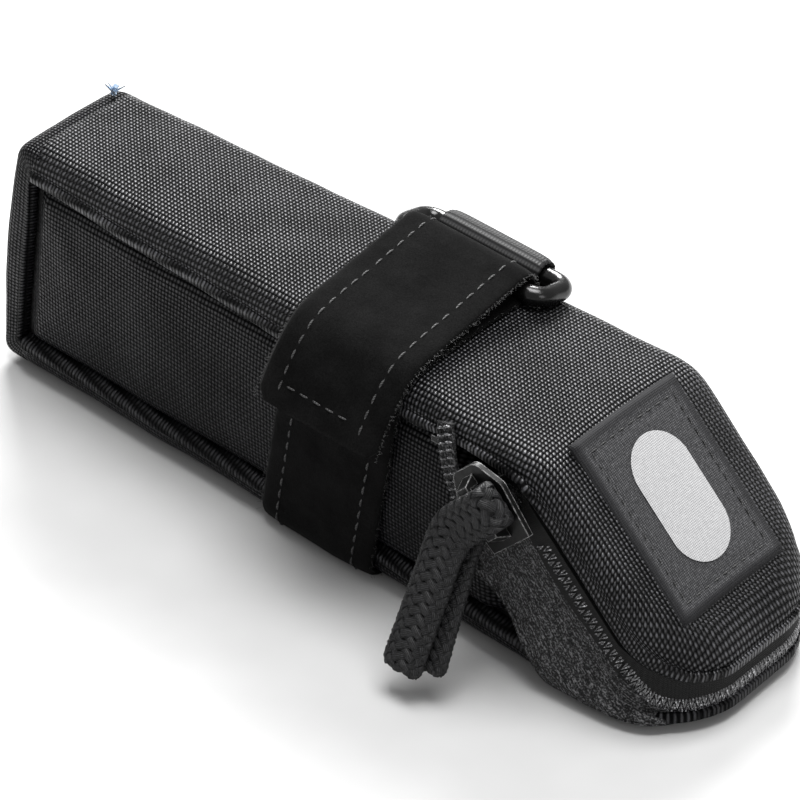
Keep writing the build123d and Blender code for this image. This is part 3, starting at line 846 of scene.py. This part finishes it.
def cord_directions(line):
    """The braid's wide and thin directions at each point of its line."""
    slope, level = Vector((0.7071, 0, -0.7071)), Vector((1, 0, 0))
    wides, thins = [], []
    for i, place in enumerate(line):
        along = (line[min(i + 1, len(line) - 1)] - line[max(i - 1, 0)]).normalized()
        wide = level.lerp(slope, ramp(place.z, 27.0, 37.0))
        wide = (wide - along * wide.dot(along)).normalized()
        wides.append(wide)
        thins.append(along.cross(wide))
    return wides, thins


def cord_core(line, wides, thins):
    """The flat core inside the braid, closed at both ends."""
    core = []
    sides = 20
    for i, place in enumerate(line):
        end = min(i, len(line) - 1 - i) * CORD_STEP
        size = 0.82 + 0.18 * ramp(end, 0.0, 1.5)
        for k in range(sides):
            angle = 2 * math.pi * k / sides
            beside = place + wides[i] * (3.9 * size * math.cos(angle))
            core.append(beside + thins[i] * (0.62 * math.sin(angle)))
    faces = grid_faces(len(line), sides, closed=True)
    faces += [tuple(range(sides)), tuple(len(core) - 1 - k for k in range(sides))]
    uvs = [(i // sides * CORD_STEP, i % sides) for i in range(len(core))]
    return new_piece("pull_cord_core", core, faces, uvs)


def braid_strand(line, wides, thins, turn, number):
    """One strand's points and outward directions: turn is 1 or -1, the way that it winds."""
    strand, outs = [], []
    for i, place in enumerate(line):
        length = i * CORD_STEP
        angle = 2 * math.pi * (turn * length / BRAID_LAY + number / STRANDS_EACH_WAY)
        weave = turn * 0.26 * math.cos(2 * math.pi * STRANDS_EACH_WAY * length / BRAID_LAY)
        across = math.copysign(abs(math.cos(angle)) ** 0.75, math.cos(angle))
        up = math.copysign(abs(math.sin(angle)) ** 0.45, math.sin(angle))
        direction = (wides[i] * (math.cos(angle) * 0.35) + thins[i] * math.sin(angle)).normalized()
        end = min(i, len(line) - 1 - i) * CORD_STEP
        size = 0.86 + 0.14 * ramp(end, 0.0, 1.6)
        strand.append(place + wides[i] * (4.05 * size * across) + thins[i] * (0.78 * up) + direction * weave)
        outs.append(direction)
    return strand, outs


def make_cord(fabric):
    """A flat tubular braid, doubled over the slider's crown: seven strands wind each way."""
    line = cord_spline()
    wides, thins = cord_directions(line)
    strands, outs = [], []
    for turn in (1, -1):
        for number in range(STRANDS_EACH_WAY):
            strand, out = braid_strand(line, wides, thins, turn, number)
            strands.append(strand)
            outs.append(out)
    braid = tubes("pull_cord_braid", strands, 0.95, sides=8, outs=outs, flat=0.36)
    inner = cord_core(line, wides, thins)
    for piece in (braid, inner):
        piece.data.materials.append(fabric)
        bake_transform(piece)
    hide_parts("pull_cord_fold", "pull_cord_legs")


# The strap, its webbing, and the label

ALONG_ROOF = Vector((0.998, 0, -0.053)).normalized()


def on_top(y, rise):
    """A point over the roof's middle line, for the strap and ring: y across, and a height above the panel."""
    angle = math.atan(ROOF_FALL)
    base = BEND_Z + ROOF_FALL * BEND_X
    x = STRAP_LEAN * base
    return Vector((x + math.sin(angle) * rise, y, base - ROOF_FALL * x + math.cos(angle) * rise))


def make_strap_wrap(cloth, thread, fluff):
    """The strap's fixed length: down the far side's foot, under the floor, up the near side, over the top."""
    half = half_width(4.0) + 2.0
    low_z, high_z = FLOOR_Z - 0.85, roof_z(8.0) + 1.3
    corners = [(half, low_z + 10), (half, low_z), (-half - 0.2, low_z), (-half - 0.4, high_z), (12.0, high_z)]
    line = round_line([(STRAP_LEAN * z, y, z) for y, z in corners], 4.6)
    line = resample(line, 0.8)
    side = Vector((1, 0, 0))
    outs = [-o for o in outward(line, side)]
    for point in line:
        if point.z > high_z - 1:
            point.z += 0.7 * (1 - (point.y / half) ** 2)
    middle = Vector((0, 0, (low_z + high_z) / 2))
    outs = [o if o.dot(p - middle) > 0 else -o for o, p in zip(outs, line)]
    sides = []
    for point in line:
        upright = ramp(abs(point.y), half - 5, half - 0.5)
        sides.append(Vector((1, math.copysign(TAPER * upright, point.y), 0)).normalized())
    piece = band("strap_band", line, outs, sides, STRAP_WIDTH, STRAP, ripple=0.3)
    finish_piece(piece, "bag", cloth, ["strap_wrap"])
    rows = []
    for offset in (-10.2, 10.2):
        rows += stitch_lines(line, outs, sides, offset, STRAP / 2 + 0.05)
    finish_piece(tubes("strap_band_stitches", rows, 0.22), "bag", thread)
    loose = fibres(line, outs, sides, STRAP_WIDTH / 2, 0.9, 420, 5)
    loose += fibres(line, outs, sides, -STRAP_WIDTH / 2, 0.9, 420, 6)
    finish_piece(tubes("strap_band_fibres", loose, 0.035, sides=3), "bag", fluff)


def make_tail(cloth, thread, fluff):
    """The strap's fold round the ring, its tail over the top and its tip down the near side."""
    side = ALONG_ROOF
    turn = []
    for degrees in range(-90, 91, 15):
        a = math.radians(degrees)
        turn.append((12.8 + 3.1 * math.cos(a), 4.3 + (3.1 if degrees < 0 else 3.5) * math.sin(a)))
    start = [on_top(y, h) for y, h in turn + [(9.0, 7.3), (4.0, 6.5), (-4.0, 5.2)]]
    edge = half_width(24.0)
    rest = [on_top(y, h) for y, h in [(-4.0, 5.2), (-edge + 8, 4.0), (-edge + 1.5, 2.3), (-edge - 3.0, -1.6),
                                      (-edge - 6.6, -6.6), (-edge - 9.4, -12.2)]]
    whole = smooth_line(start + rest[1:], 0.8)
    cut = next(i for i, p in enumerate(whole) if i > 20 and p.y < -3.0)
    centre = on_top(0, -20)
    pieces = []
    for name, line, ends in (("strap_tail_root", whole[:cut + 1], (True, False)),
                             ("strap_tail_end", whole[cut:], (False, True))):
        outs = outward(line, side)
        if name == "strap_tail_root":
            bar = on_top(12.8, 4.3)
            outs = [o if o.dot(p - bar) > 0 or p.y < 9 and o.z > 0 else -o for o, p in zip(outs, line)]
        else:
            outs = [o if o.dot(p - centre) > 0 else -o for o, p in zip(outs, line)]
        piece = band(name, line, outs, side, STRAP_WIDTH, STRAP, ripple=0.0, ends=ends, edge=0.0,
                     tip=2.2 if name == "strap_tail_end" else 0.0)
        rows = []
        for offset in (-10.0, 10.0):
            rows += stitch_lines(line, outs, side, offset, STRAP / 2 + 0.05)
        loose = fibres(line, outs, side, STRAP_WIDTH / 2, 0.8, 260, 7)
        loose += fibres(line, outs, side, -STRAP_WIDTH / 2, 0.8, 260, 8)
        if name == "strap_tail_end":
            row_at = len(line) - 7
            cross = [line[row_at] + side * s for s in np.arange(-9.5, 9.6, 0.8)]
            rows += stitch_lines(cross, [outs[row_at]] * len(cross), outs[row_at].cross(side), 0.0,
                                 STRAP / 2 + 0.05)
        pieces.append((piece, tubes(name + "_stitches", rows, 0.22),
                       tubes(name + "_fibres", loose, 0.035, sides=3)))
    for group, joined in zip(pieces, (("ring", "tail"), ("tail", "tip"))):
        for piece, material, slot in zip(group, (cloth, thread, fluff), ("strap_cloth", "thread", "thread")):
            piece.data.materials.append(material)
            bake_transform(piece)
    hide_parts("strap_fold", "strap_tail")
    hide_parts("strap_tip")


WEBBING_WIDTH = 25.0
WEBBING = 1.2


def make_webbing(cloth):
    """The ribbed webbing that holds the ring's far bar and is sewn to the far side."""
    inner = half_width(22.0) + 0.7
    outer = inner + 1.3
    turn = [(21.9 + 2.8 * math.cos(math.radians(a)), 2.0 + 2.8 * math.sin(math.radians(a)))
            for a in range(0, 229, 19)]
    shape = [(outer, -16.0), (outer, -7.0)] + turn + [(inner, -3.5), (inner, -38.0)]
    line = smooth_line([on_top(y, h) for y, h in shape], 0.4)
    outs = outward(line, ALONG_ROOF)
    ribbed = []
    for i, (point, out) in enumerate(zip(line, outs)):
        ribbed.append(point + out * (0.1 * math.sin(2 * math.pi * i * 0.4 / 1.2)))
    piece = band("webbing_loop", ribbed, outs, ALONG_ROOF, WEBBING_WIDTH, WEBBING)
    return finish_piece(piece, "bag", cloth, ["ring_webbing"])


LABEL_LENGTH, LABEL_WIDTH = 40.0, 31.3
LABEL_MIDDLE = 21.2       # down the tongue from the bend


def label_point(down, across, rise):
    """A point on the tongue, from the label's middle: down the slope, across, and out."""
    slope = math.sqrt(0.5)
    x = BEND_X + (LABEL_MIDDLE + down) * slope
    z = BEND_Z + 1.8 - (x - BEND_X)
    inner = REAR_HALF - EDGE
    crown = 0.8 * (1 - (across / inner) ** 2)
    return Vector((x + rise * slope, across, z + crown + rise * slope))


def make_label(weave, printed, thread):
    """The woven label sewn on the tongue, its plain printed mark and its stitches."""
    rows, columns = 44, 36
    points, uvs = [], []
    for i in range(rows + 1):
        for j in range(columns + 1):
            down = LABEL_LENGTH * (i / rows - 0.5)
            across = LABEL_WIDTH * (j / columns - 0.5)
            edge = min(LABEL_LENGTH / 2 - abs(down), LABEL_WIDTH / 2 - abs(across))
            rise = 0.25 + 0.95 * ramp(edge, -0.2, 0.9) - 0.28 * math.exp(-((edge - 3.4) / 0.7) ** 2)
            wave = 0.15 * noise.noise(Vector((down / 7, across / 7, 3)))
            points.append(label_point(down, across, rise + wave))
            uvs.append((down, across))
    piece = new_piece("label", points, grid_faces(rows + 1, columns + 1, flip=True), uvs)
    thicken(piece, 0.7)
    finish_piece(piece, "rear_flap", weave, ["label_patch"])
    half_length, radius = 13.5, 7.5
    outline = []
    for k in range(48):
        angle = 2 * math.pi * k / 48
        shift = (half_length - radius) * (1 if math.cos(angle) >= 0 else -1)
        outline.append((radius * math.cos(angle) + shift, radius * math.sin(angle)))
    points, uvs = [], []
    for share in (1.0, 0.66, 0.33, 0.0):
        for down, across in outline:
            edge = 1.42 if share == 1.0 else 1.55
            points.append(label_point(down * share, across * share, edge))
            uvs.append((down * share, across * share))
    mark = new_piece("label_shape", points, grid_faces(4, len(outline), closed=True), uvs)
    finish_piece(mark, "rear_flap", printed, ["label_mark"])
    rows = []
    inset = 3.4
    for axis, other in ((LABEL_LENGTH, LABEL_WIDTH), (LABEL_WIDTH, LABEL_LENGTH)):
        for sign in (-1, 1):
            reach = axis / 2 - inset
            count = round(2 * reach / 2.6)
            for k in range(count):
                start = -reach + 2 * reach * k / count
                ends = []
                for t in (0.0, 0.5, 1.0):
                    along = start + 1.8 * t
                    fixed = sign * (other / 2 - inset)
                    down, across = (along, fixed) if axis == LABEL_LENGTH else (fixed, along)
                    ends.append(label_point(down, across, 0.95 + 0.25 * math.sin(math.pi * t)))
                rows.append(ends)
    finish_piece(tubes("label_stitches", rows, 0.17, sides=5), "rear_flap", thread)


def make_tag_prongs(material):
    """The frayed ends of the tag's clear fastener, left at the front top corner."""
    root = (low("tag_stub") + high("tag_stub")) / 2
    chance = np.random.default_rng(3)
    prongs = []
    count = 10
    for k in range(count):
        turn = 2 * math.pi * k / count
        lean = Vector((math.cos(turn), math.sin(turn), 0))
        reach = chance.uniform(1.0, 2.6)
        prongs.append([root + Vector((0, 0, -1.6)), root + lean * (0.3 * reach), root + lean * reach
                       + Vector((0, 0, chance.uniform(-0.6, 2.2)))])
    piece = tubes("tag_prongs", prongs, 0.22, sides=6)
    return finish_piece(piece, "bag", material)


# Materials

SHADER_INPUTS = {
    "metallic": "Metallic",
    "specular": "Specular IOR Level",
    "sheen": "Sheen Weight",
    "sheen_roughness": "Sheen Roughness",
    "coat": "Coat Weight",
    "coat_roughness": "Coat Roughness",
    "transmission": "Transmission Weight",
}


class Graph:
    """A material's node tree, with short calls for the nodes that the materials here use."""

    def __init__(self, name):
        self.material = bpy.data.materials.new(name)
        self.material.use_nodes = True
        self.tree = self.material.node_tree
        self.shader = self.tree.nodes["Principled BSDF"]

    def node(self, kind, **settings):
        made = self.tree.nodes.new(kind)
        for key, value in settings.items():
            setattr(made, key, value)
        return made

    def join(self, source, target):
        """Links a socket, or sets a number, a colour or a vector."""
        if hasattr(source, "is_output"):
            self.tree.links.new(source, target)
        else:
            target.default_value = source

    def math(self, operation, a, b=0.0, c=0.0):
        made = self.node("ShaderNodeMath", operation=operation)
        for socket, value in zip(made.inputs, (a, b, c)):
            self.join(value, socket)
        return made.outputs[0]

    def uv(self):
        """The surface's own coordinates, in millimetres along the cloth."""
        split = self.node("ShaderNodeSeparateXYZ")
        self.join(self.node("ShaderNodeUVMap", uv_map="UVMap").outputs[0], split.inputs[0])
        return split.outputs[0], split.outputs[1]

    def place(self):
        """The point in the object's own frame, in metres."""
        return self.node("ShaderNodeTexCoord").outputs["Object"]

    def noise(self, scale, detail=2.0, roughness=0.5, vector=None):
        made = self.node("ShaderNodeTexNoise")
        self.join(vector if vector is not None else self.place(), made.inputs["Vector"])
        made.inputs["Scale"].default_value = scale
        made.inputs["Detail"].default_value = detail
        made.inputs["Roughness"].default_value = roughness
        return made.outputs["Fac"]

    def ramp(self, factor, *stops):
        made = self.node("ShaderNodeValToRGB")
        elements = made.color_ramp.elements
        while len(elements) < len(stops):
            elements.new(0.5)
        for element, (position, value) in zip(elements, stops):
            element.position = position
            element.color = (*value, 1.0) if hasattr(value, "__len__") else (value, value, value, 1.0)
        self.join(factor, made.inputs[0])
        return made.outputs[0]

    def range(self, value, from_low, from_high, to_low, to_high):
        made = self.node("ShaderNodeMapRange")
        for socket, number in zip(made.inputs, (value, from_low, from_high, to_low, to_high)):
            self.join(number, socket)
        return made.outputs[0]

    def bump(self, height, distance, strength=1.0, normal=None):
        made = self.node("ShaderNodeBump")
        self.join(height, made.inputs["Height"])
        made.inputs["Distance"].default_value = distance
        made.inputs["Strength"].default_value = strength
        if normal is not None:
            self.join(normal, made.inputs["Normal"])
        return made.outputs[0]

    def finish(self, color=None, roughness=None, normal=None, **plain):
        for name, source in (("Base Color", color), ("Roughness", roughness), ("Normal", normal)):
            if source is not None:
                if isinstance(source, tuple):
                    source = (*source, 1.0)
                self.join(source, self.shader.inputs[name])
        for name, value in plain.items():
            self.shader.inputs[SHADER_INPUTS[name]].default_value = value
        return self.material


def plain_weave(graph, pitch, stretch=1.0):
    """Height of a plain weave from 0 to 1, and which thread is on top, from the cloth's own coordinates."""
    u, v = graph.uv()
    a = graph.math("DIVIDE", u, pitch)
    b = graph.math("DIVIDE", v, pitch * stretch)
    across = graph.math("SUBTRACT", graph.math("FRACT", a), 0.5)
    along = graph.math("SUBTRACT", graph.math("FRACT", b), 0.5)
    cells = graph.math("ADD", graph.math("FLOOR", a), graph.math("FLOOR", b))
    weft_on_top = graph.math("ABSOLUTE", graph.math("MODULO", cells, 2.0))
    wave_a = graph.math("COSINE", graph.math("MULTIPLY", across, math.pi))
    wave_b = graph.math("COSINE", graph.math("MULTIPLY", along, math.pi))
    warp = graph.math("ADD", graph.math("MULTIPLY", wave_a, 0.55), graph.math("MULTIPLY", wave_b, 0.45))
    weft = graph.math("ADD", graph.math("MULTIPLY", wave_b, 0.55), graph.math("MULTIPLY", wave_a, 0.45))
    swap = graph.math("MULTIPLY", graph.math("SUBTRACT", weft, warp), weft_on_top)
    return graph.math("ADD", warp, swap), weft_on_top


def shell_cloth(name, light):
    """Coarse black plain weave with a painted highlight on each thread's crown and painted shade in the gaps;
    light is how pale the painted highlights are, and it also scales the shine.
    """
    graph = Graph(name)
    height, top_thread = plain_weave(graph, 0.88)
    # Painted highlight: the crowns are painted paler than the gaps, in random patches, and stronger where the
    # weft is on top; the dark gaps are painted shade.
    crown = graph.math("POWER", height, 3.0)
    patchy = graph.noise(90.0, 3.0)
    painted_crown_highlight = graph.math("MULTIPLY", crown, graph.range(patchy, 0.3, 0.7, 0.75, 1.2))
    painted_crown_highlight = graph.math("MULTIPLY", painted_crown_highlight, graph.range(top_thread, 0.0, 1.0, 0.75, 1.15))
    color = graph.ramp(painted_crown_highlight, (0.05, (0.001, 0.001, 0.0012)), (0.45, (0.006, 0.006, 0.0068)),
                       (1.0, (0.06 * light, 0.06 * light, 0.067 * light)))
    roughness = graph.range(graph.noise(400.0), 0.3, 0.7, 0.34, 0.48)
    normal = graph.bump(height, 0.00042)
    shine = graph.range(painted_crown_highlight, 0.1, 0.8, 0.08 * light, 0.6 * light)
    graph.join(shine, graph.shader.inputs["Specular IOR Level"])
    return graph.finish(color, roughness, normal)


def box_weave(name, pitch, dark, light):
    """A fine weave for cloth pieces without coordinates of their own, such as the lining."""
    graph = Graph(name)
    split = graph.node("ShaderNodeSeparateXYZ")
    graph.join(graph.place(), split.inputs[0])
    waves = []
    for axis in range(3):
        turn = graph.math("MULTIPLY", split.outputs[axis], 2 * math.pi / (pitch * MM))
        waves.append(graph.math("SINE", turn))
    crossed = graph.math("MULTIPLY", waves[0], waves[2])
    height = graph.math("ADD", crossed, graph.math("MULTIPLY", waves[1], 0.5))
    level = graph.range(height, -1.5, 1.5, 0.0, 1.0)
    color = graph.ramp(level, (0.0, dark), (1.0, light))
    return graph.finish(color, 0.8, graph.bump(level, 0.0001), specular=0.2)


def foam_material():
    """Closed-cell foam with fine pores."""
    graph = Graph("foam_cells")
    pores = graph.noise(1600.0, 4.0)
    color = graph.ramp(pores, (0.35, (0.012, 0.012, 0.012)), (0.65, (0.04, 0.04, 0.041)))
    return graph.finish(color, 0.9, graph.bump(pores, 0.0002), specular=0.2)


def napped(name, dark, light):
    """Matte microfibre: a soft nap with brushed streaks."""
    graph = Graph(name)
    nap = graph.noise(3200.0, 3.0, 0.7)
    brushed = graph.noise(160.0, 4.0, 0.6)
    color = graph.ramp(graph.math("MULTIPLY", nap, graph.range(brushed, 0.3, 0.7, 0.7, 1.2)),
                       (0.3, dark), (0.75, light))
    normal = graph.bump(brushed, 0.0003, normal=graph.bump(nap, 0.00007))
    return graph.finish(color, 0.95, normal, specular=0.06, sheen=0.02, sheen_roughness=0.5)


def streaky_tape():
    """The zipper's fuzzy tape: brushed threads that run along it, uneven and frayed."""
    graph = Graph("zip_tape_weave")
    mapping = graph.node("ShaderNodeMapping")
    graph.join(graph.node("ShaderNodeUVMap", uv_map="UVMap").outputs[0], mapping.inputs[0])
    mapping.inputs["Scale"].default_value = (0.5, 2.9, 1.0)
    mapping.inputs["Rotation"].default_value = (0.0, 0.0, 0.12)
    streaks = graph.noise(1.0, 6.0, 0.8, mapping.outputs[0])
    fuzz = graph.noise(2500.0, 2.0)
    level = graph.math("MULTIPLY", streaks, graph.range(fuzz, 0.3, 0.7, 0.75, 1.25))
    color = graph.ramp(level, (0.38, (0.001, 0.001, 0.0012)), (0.5, (0.02, 0.02, 0.021)),
                       (0.66, (0.2, 0.2, 0.205)))
    return graph.finish(color, 0.75, graph.bump(level, 0.0007), specular=0.25)


def thread_material(name, dark, light, gloss):
    """Twisted thread, with its plies slanting along it."""
    graph = Graph(name)
    u, v = graph.uv()
    twist = graph.math("SINE", graph.math("MULTIPLY", graph.math("ADD", u, v), 11.0))
    level = graph.range(twist, -1.0, 1.0, 0.0, 1.0)
    patchy = graph.noise(700.0, 2.0)
    color = graph.ramp(graph.math("MULTIPLY", level, graph.range(patchy, 0.3, 0.7, 0.5, 1.2)),
                       (0.1, dark), (0.9, light))
    return graph.finish(color, gloss, graph.bump(level, 0.00005), specular=0.4)


def braid_yarn():
    """The cord's yarn: fine filaments along each strand, with a fuzzy nap."""
    graph = Graph("braid_yarn")
    u, v = graph.uv()
    filaments = graph.math("SINE", graph.math("ADD", graph.math("MULTIPLY", v, 16.0),
                                              graph.math("MULTIPLY", u, 2.0)))
    level = graph.range(filaments, -1.0, 1.0, 0.0, 1.0)
    fuzz = graph.noise(1500.0, 3.0, 0.7)
    color = graph.ramp(graph.math("MULTIPLY", level, graph.range(fuzz, 0.3, 0.7, 0.4, 1.3)),
                       (0.0, (0.0015, 0.0015, 0.0015)), (0.6, (0.007, 0.007, 0.0075)),
                       (1.0, (0.035, 0.035, 0.038)))
    normal = graph.bump(level, 0.00008, normal=graph.bump(fuzz, 0.00012))
    return graph.finish(color, 0.5, normal, specular=0.3)


def glossy_black(name, rough, worn_and_highlit_edge, gloss):
    """Black moulded plastic or painted metal, a little scuffed, with its edges painted paler: partly rubbed
    wear, partly a painted highlight.
    """
    graph = Graph(name)
    rounded = graph.node("ShaderNodeBevel", samples=4)
    rounded.inputs["Radius"].default_value = 0.0004
    flat = graph.node("ShaderNodeNewGeometry").outputs["Normal"]
    dot = graph.node("ShaderNodeVectorMath", operation="DOT_PRODUCT")
    graph.join(rounded.outputs[0], dot.inputs[0])
    graph.join(flat, dot.inputs[1])
    scuffs = graph.noise(900.0, 4.0, 0.65)
    # Edges, where the rounded normal parts from the true one, are painted paler under the scuffs: partly
    # wear, partly a painted highlight.
    edge = graph.range(dot.outputs["Value"], 0.97, 0.85, 0.0, 1.0)
    edge = graph.math("MULTIPLY", edge, graph.range(scuffs, 0.35, 0.6, 0.1, 1.0))
    color = graph.ramp(edge, (0.0, (0.003, 0.003, 0.003)), (1.0, (worn_and_highlit_edge, worn_and_highlit_edge, worn_and_highlit_edge)))
    roughness = graph.range(scuffs, 0.3, 0.7, rough * 0.7, rough * 1.5)
    normal = graph.bump(scuffs, 0.00003, normal=rounded.outputs[0])
    return graph.finish(color, roughness, normal, specular=gloss)


def coil_plastic_painted_glints():
    graph = Graph("coil_nylon_painted_glints")
    grain = graph.noise(2000.0, 3.0)
    # Painted glints: sparse pale specks in the black nylon's colour.
    color = graph.ramp(grain, (0.4, (0.01, 0.01, 0.011)), (0.58, (0.12, 0.12, 0.125)),
                       (0.7, (0.6, 0.6, 0.62)))
    return graph.finish(color, 0.2, graph.bump(grain, 0.00002), specular=1.0)


def ribbed_webbing():
    """Webbing with fine ribs across it."""
    graph = Graph("ribbed_webbing")
    u, v = graph.uv()
    rib = graph.math("SINE", graph.math("MULTIPLY", u, 2 * math.pi / 1.2))
    cross = graph.math("SINE", graph.math("MULTIPLY", v, 2 * math.pi / 0.7))
    level = graph.range(graph.math("ADD", rib, graph.math("MULTIPLY", cross, 0.5)), -1.5, 1.5, 0.0, 1.0)
    color = graph.ramp(level, (0.0, (0.002, 0.002, 0.002)), (1.0, (0.02, 0.02, 0.021)))
    return graph.finish(color, 0.6, graph.bump(level, 0.0002), specular=0.3)


LABEL_WEAVE = 0.42


def label_cloth():
    """Charcoal heather: a fine weave of dark and grey threads, darker along the folded edge."""
    graph = Graph("label_heather")
    height, _ = plain_weave(graph, LABEL_WEAVE)
    u, v = graph.uv()
    streak = graph.node("ShaderNodeMapping")
    graph.join(graph.node("ShaderNodeUVMap", uv_map="UVMap").outputs[0], streak.inputs[0])
    streak.inputs["Scale"].default_value = (1.1, 3.5, 1.0)
    flecks = graph.noise(1.0, 3.0, 0.7, streak.outputs[0])
    level = graph.math("MULTIPLY", height, graph.range(flecks, 0.3, 0.7, 0.35, 1.2))
    half_length, half_across = LABEL_LENGTH / 2, LABEL_WIDTH / 2
    inside_u = graph.range(graph.math("ABSOLUTE", u), half_length - 2.4, half_length - 1.2, 1.0, 0.35)
    inside_v = graph.range(graph.math("ABSOLUTE", v), half_across - 2.4, half_across - 1.2, 1.0, 0.35)
    level = graph.math("MULTIPLY", level, graph.math("MULTIPLY", inside_u, inside_v))
    color = graph.ramp(level, (0.0, (0.008, 0.008, 0.009)), (0.5, (0.035, 0.035, 0.037)),
                       (1.0, (0.13, 0.13, 0.135)))
    return graph.finish(color, 0.8, graph.bump(height, 0.0001), specular=0.2)


def label_ink():
    """Pale grey print over the weave, whose threads still show."""
    graph = Graph("label_print")
    height, _ = plain_weave(graph, LABEL_WEAVE)
    grain = graph.noise(1200.0, 3.0)
    level = graph.math("MULTIPLY", height, graph.range(grain, 0.3, 0.7, 0.8, 1.1))
    color = graph.ramp(level, (0.1, (0.22, 0.22, 0.225)), (0.9, (0.5, 0.5, 0.505)))
    return graph.finish(color, 0.7, graph.bump(height, 0.00008), specular=0.2)


def clear_plastic():
    graph = Graph("clear_nylon")
    haze = graph.noise(1500.0, 2.0)
    color = graph.ramp(haze, (0.3, (0.28, 0.42, 0.62)), (0.7, (0.6, 0.72, 0.85)))
    return graph.finish(color, 0.2, graph.bump(haze, 0.00003), transmission=0.5)


def pale_ground():
    graph = Graph("pale_floor")
    grain = graph.noise(60.0, 2.0)
    color = graph.ramp(grain, (0.3, (0.5, 0.5, 0.5)), (0.7, (0.52, 0.52, 0.52)))
    return graph.finish(color, 0.85, specular=0.1)


def dress_nodes(looks):
    """Gives CAD nodes that stay in view their materials."""
    for material, nodes in looks:
        for name in nodes:
            mesh = frame["nodes"][name].data
            mesh.materials.clear()
            mesh.materials.append(material)


# Camera, lights and floor

def point_at(obj, target, roll=0.0):
    """Turns a camera or a light to look at a point, in metres."""
    look = (Vector(target) - obj.location).to_track_quat("-Z", "Y").to_matrix().to_4x4()
    obj.matrix_world = Matrix.Translation(obj.location) @ look @ Matrix.Rotation(roll, 4, "Z")


def make_camera():
    """A long lens, a little over 1 m away, above the near rear corner."""
    aim = Vector((0.47, 3.57, 23.02)) * MM
    azimuth, elevation, roll = math.radians(40.02), math.radians(36.08), math.radians(0.48)
    back = Vector((math.sin(azimuth) * math.cos(elevation), -math.cos(azimuth) * math.cos(elevation),
                   math.sin(elevation)))
    data = bpy.data.cameras.new("camera")
    data.lens = 234.9
    data.sensor_width = 36.0
    data.clip_start, data.clip_end = 0.05, 20.0
    camera = bpy.data.objects.new("camera", data)
    bpy.context.scene.collection.objects.link(camera)
    camera.location = aim + back * 1.0196
    point_at(camera, aim, roll)
    bpy.context.scene.camera = camera


def area_light(name, place, target, size, power, shape_y=None):
    data = bpy.data.lights.new(name, "AREA")
    data.energy = power
    data.size = size
    if shape_y:
        data.shape = "RECTANGLE"
        data.size_y = shape_y
    lamp = bpy.data.objects.new(name, data)
    bpy.context.scene.collection.objects.link(lamp)
    lamp.location = place
    point_at(lamp, target)
    return lamp


def make_studio():
    """A pale floor and soft lights."""
    mesh = bpy.data.meshes.new("floor")
    size = 6.0
    corners = [(-size, -size, 0), (size, -size, 0), (size, size, 0), (-size, size, 0)]
    mesh.from_pydata(corners, [], [(0, 1, 2, 3)])
    ground = bpy.data.objects.new("floor", mesh)
    bpy.context.scene.collection.objects.link(ground)
    ground.location.z = cad_low.z
    ground.data.materials.append(pale_ground())
    world = bpy.data.worlds.new("studio")
    bpy.context.scene.world = world
    world.use_nodes = True
    world.node_tree.nodes["Background"].inputs["Color"].default_value = (1, 1, 1, 1)
    world.node_tree.nodes["Background"].inputs["Strength"].default_value = 0.42
    area_light("key", (-0.75, 0.95, 0.95), (0, 0, 0.02), 0.6, 44)
    area_light("over", (0.1, 0.1, 1.4), (0, 0, 0.02), 0.8, 26)
    area_light("fill", (1.2, -0.3, 0.7), (0, 0, 0.02), 0.5, 2)
    bpy.context.scene.view_settings.view_transform = "Standard"


make_camera()
make_studio()

cloth = shell_cloth("roof_weave", 1.0)
# Painted shade: the sides, front and floor take a copy of the roof's cloth with its painted highlights and
# shine cut to 0.45, as these faces get less light.
shaded_side_cloth = shell_cloth("side_weave_painted_shade", 0.45)
strap_cloth = napped("strap_microfibre", (0.0008, 0.0008, 0.0008), (0.0065, 0.0065, 0.0065))
grey_thread = thread_material("grey_thread", (0.012, 0.012, 0.012), (0.075, 0.075, 0.075), 0.6)
# Painted glint: the pale thread of the lip stitches.
thread_painted_glint = thread_material("thread_painted_glint", (0.05, 0.05, 0.053), (0.4, 0.4, 0.42), 0.35)
fluff = thread_material("loose_fibres", (0.03, 0.03, 0.03), (0.14, 0.14, 0.14), 0.8)
tape = streaky_tape()
coil = coil_plastic_painted_glints()
yarn = braid_yarn()
metal = glossy_black("slider_enamel", rough=0.4, worn_and_highlit_edge=0.6, gloss=0.22)
ring_plastic = glossy_black("ring_plastic", rough=0.16, worn_and_highlit_edge=0.02, gloss=0.45)
webbing = ribbed_webbing()
lining = box_weave("lining_cloth", 0.7, (0.008, 0.008, 0.009), (0.03, 0.03, 0.033))
binding = box_weave("binding_tape", 0.5, (0.003, 0.003, 0.003), (0.014, 0.014, 0.014))
foam = foam_material()
clear = clear_plastic()

noise.seed_set(NOISE_SEED)
make_roof(cloth)
make_floor(shaded_side_cloth)
make_front(shaded_side_cloth)
make_side(shaded_side_cloth, -1.0, "side_left", "side_panel_left")
make_side(shaded_side_cloth, 1.0, "side_right", "side_panel_right")
make_zip_tape(tape)
make_coil(coil)
make_lip_stitches(thread_painted_glint)
make_mouth(tape, coil)
make_cord(yarn)
make_strap_wrap(strap_cloth, grey_thread, fluff)
make_tail(strap_cloth, grey_thread, fluff)
make_webbing(webbing)
make_label(label_cloth(), label_ink(), grey_thread)
make_tag_prongs(clear)

dress_nodes([
    (lining, [name for name in frame["nodes"] if name.startswith("lining_")]),
    (foam, [name for name in frame["nodes"] if name.startswith("foam_")]),
    (binding, ["seam_binding_left", "seam_binding_right", "hook_tape_tip", "zip_tape_flap"]),
    (metal, ["zip_slider", "slider_crown", "zip_end_stops"]),
    (ring_plastic, ["strap_ring"]),
    (grey_thread, ["bar_tacks"]),
    (clear, ["tag_stub"]),
])
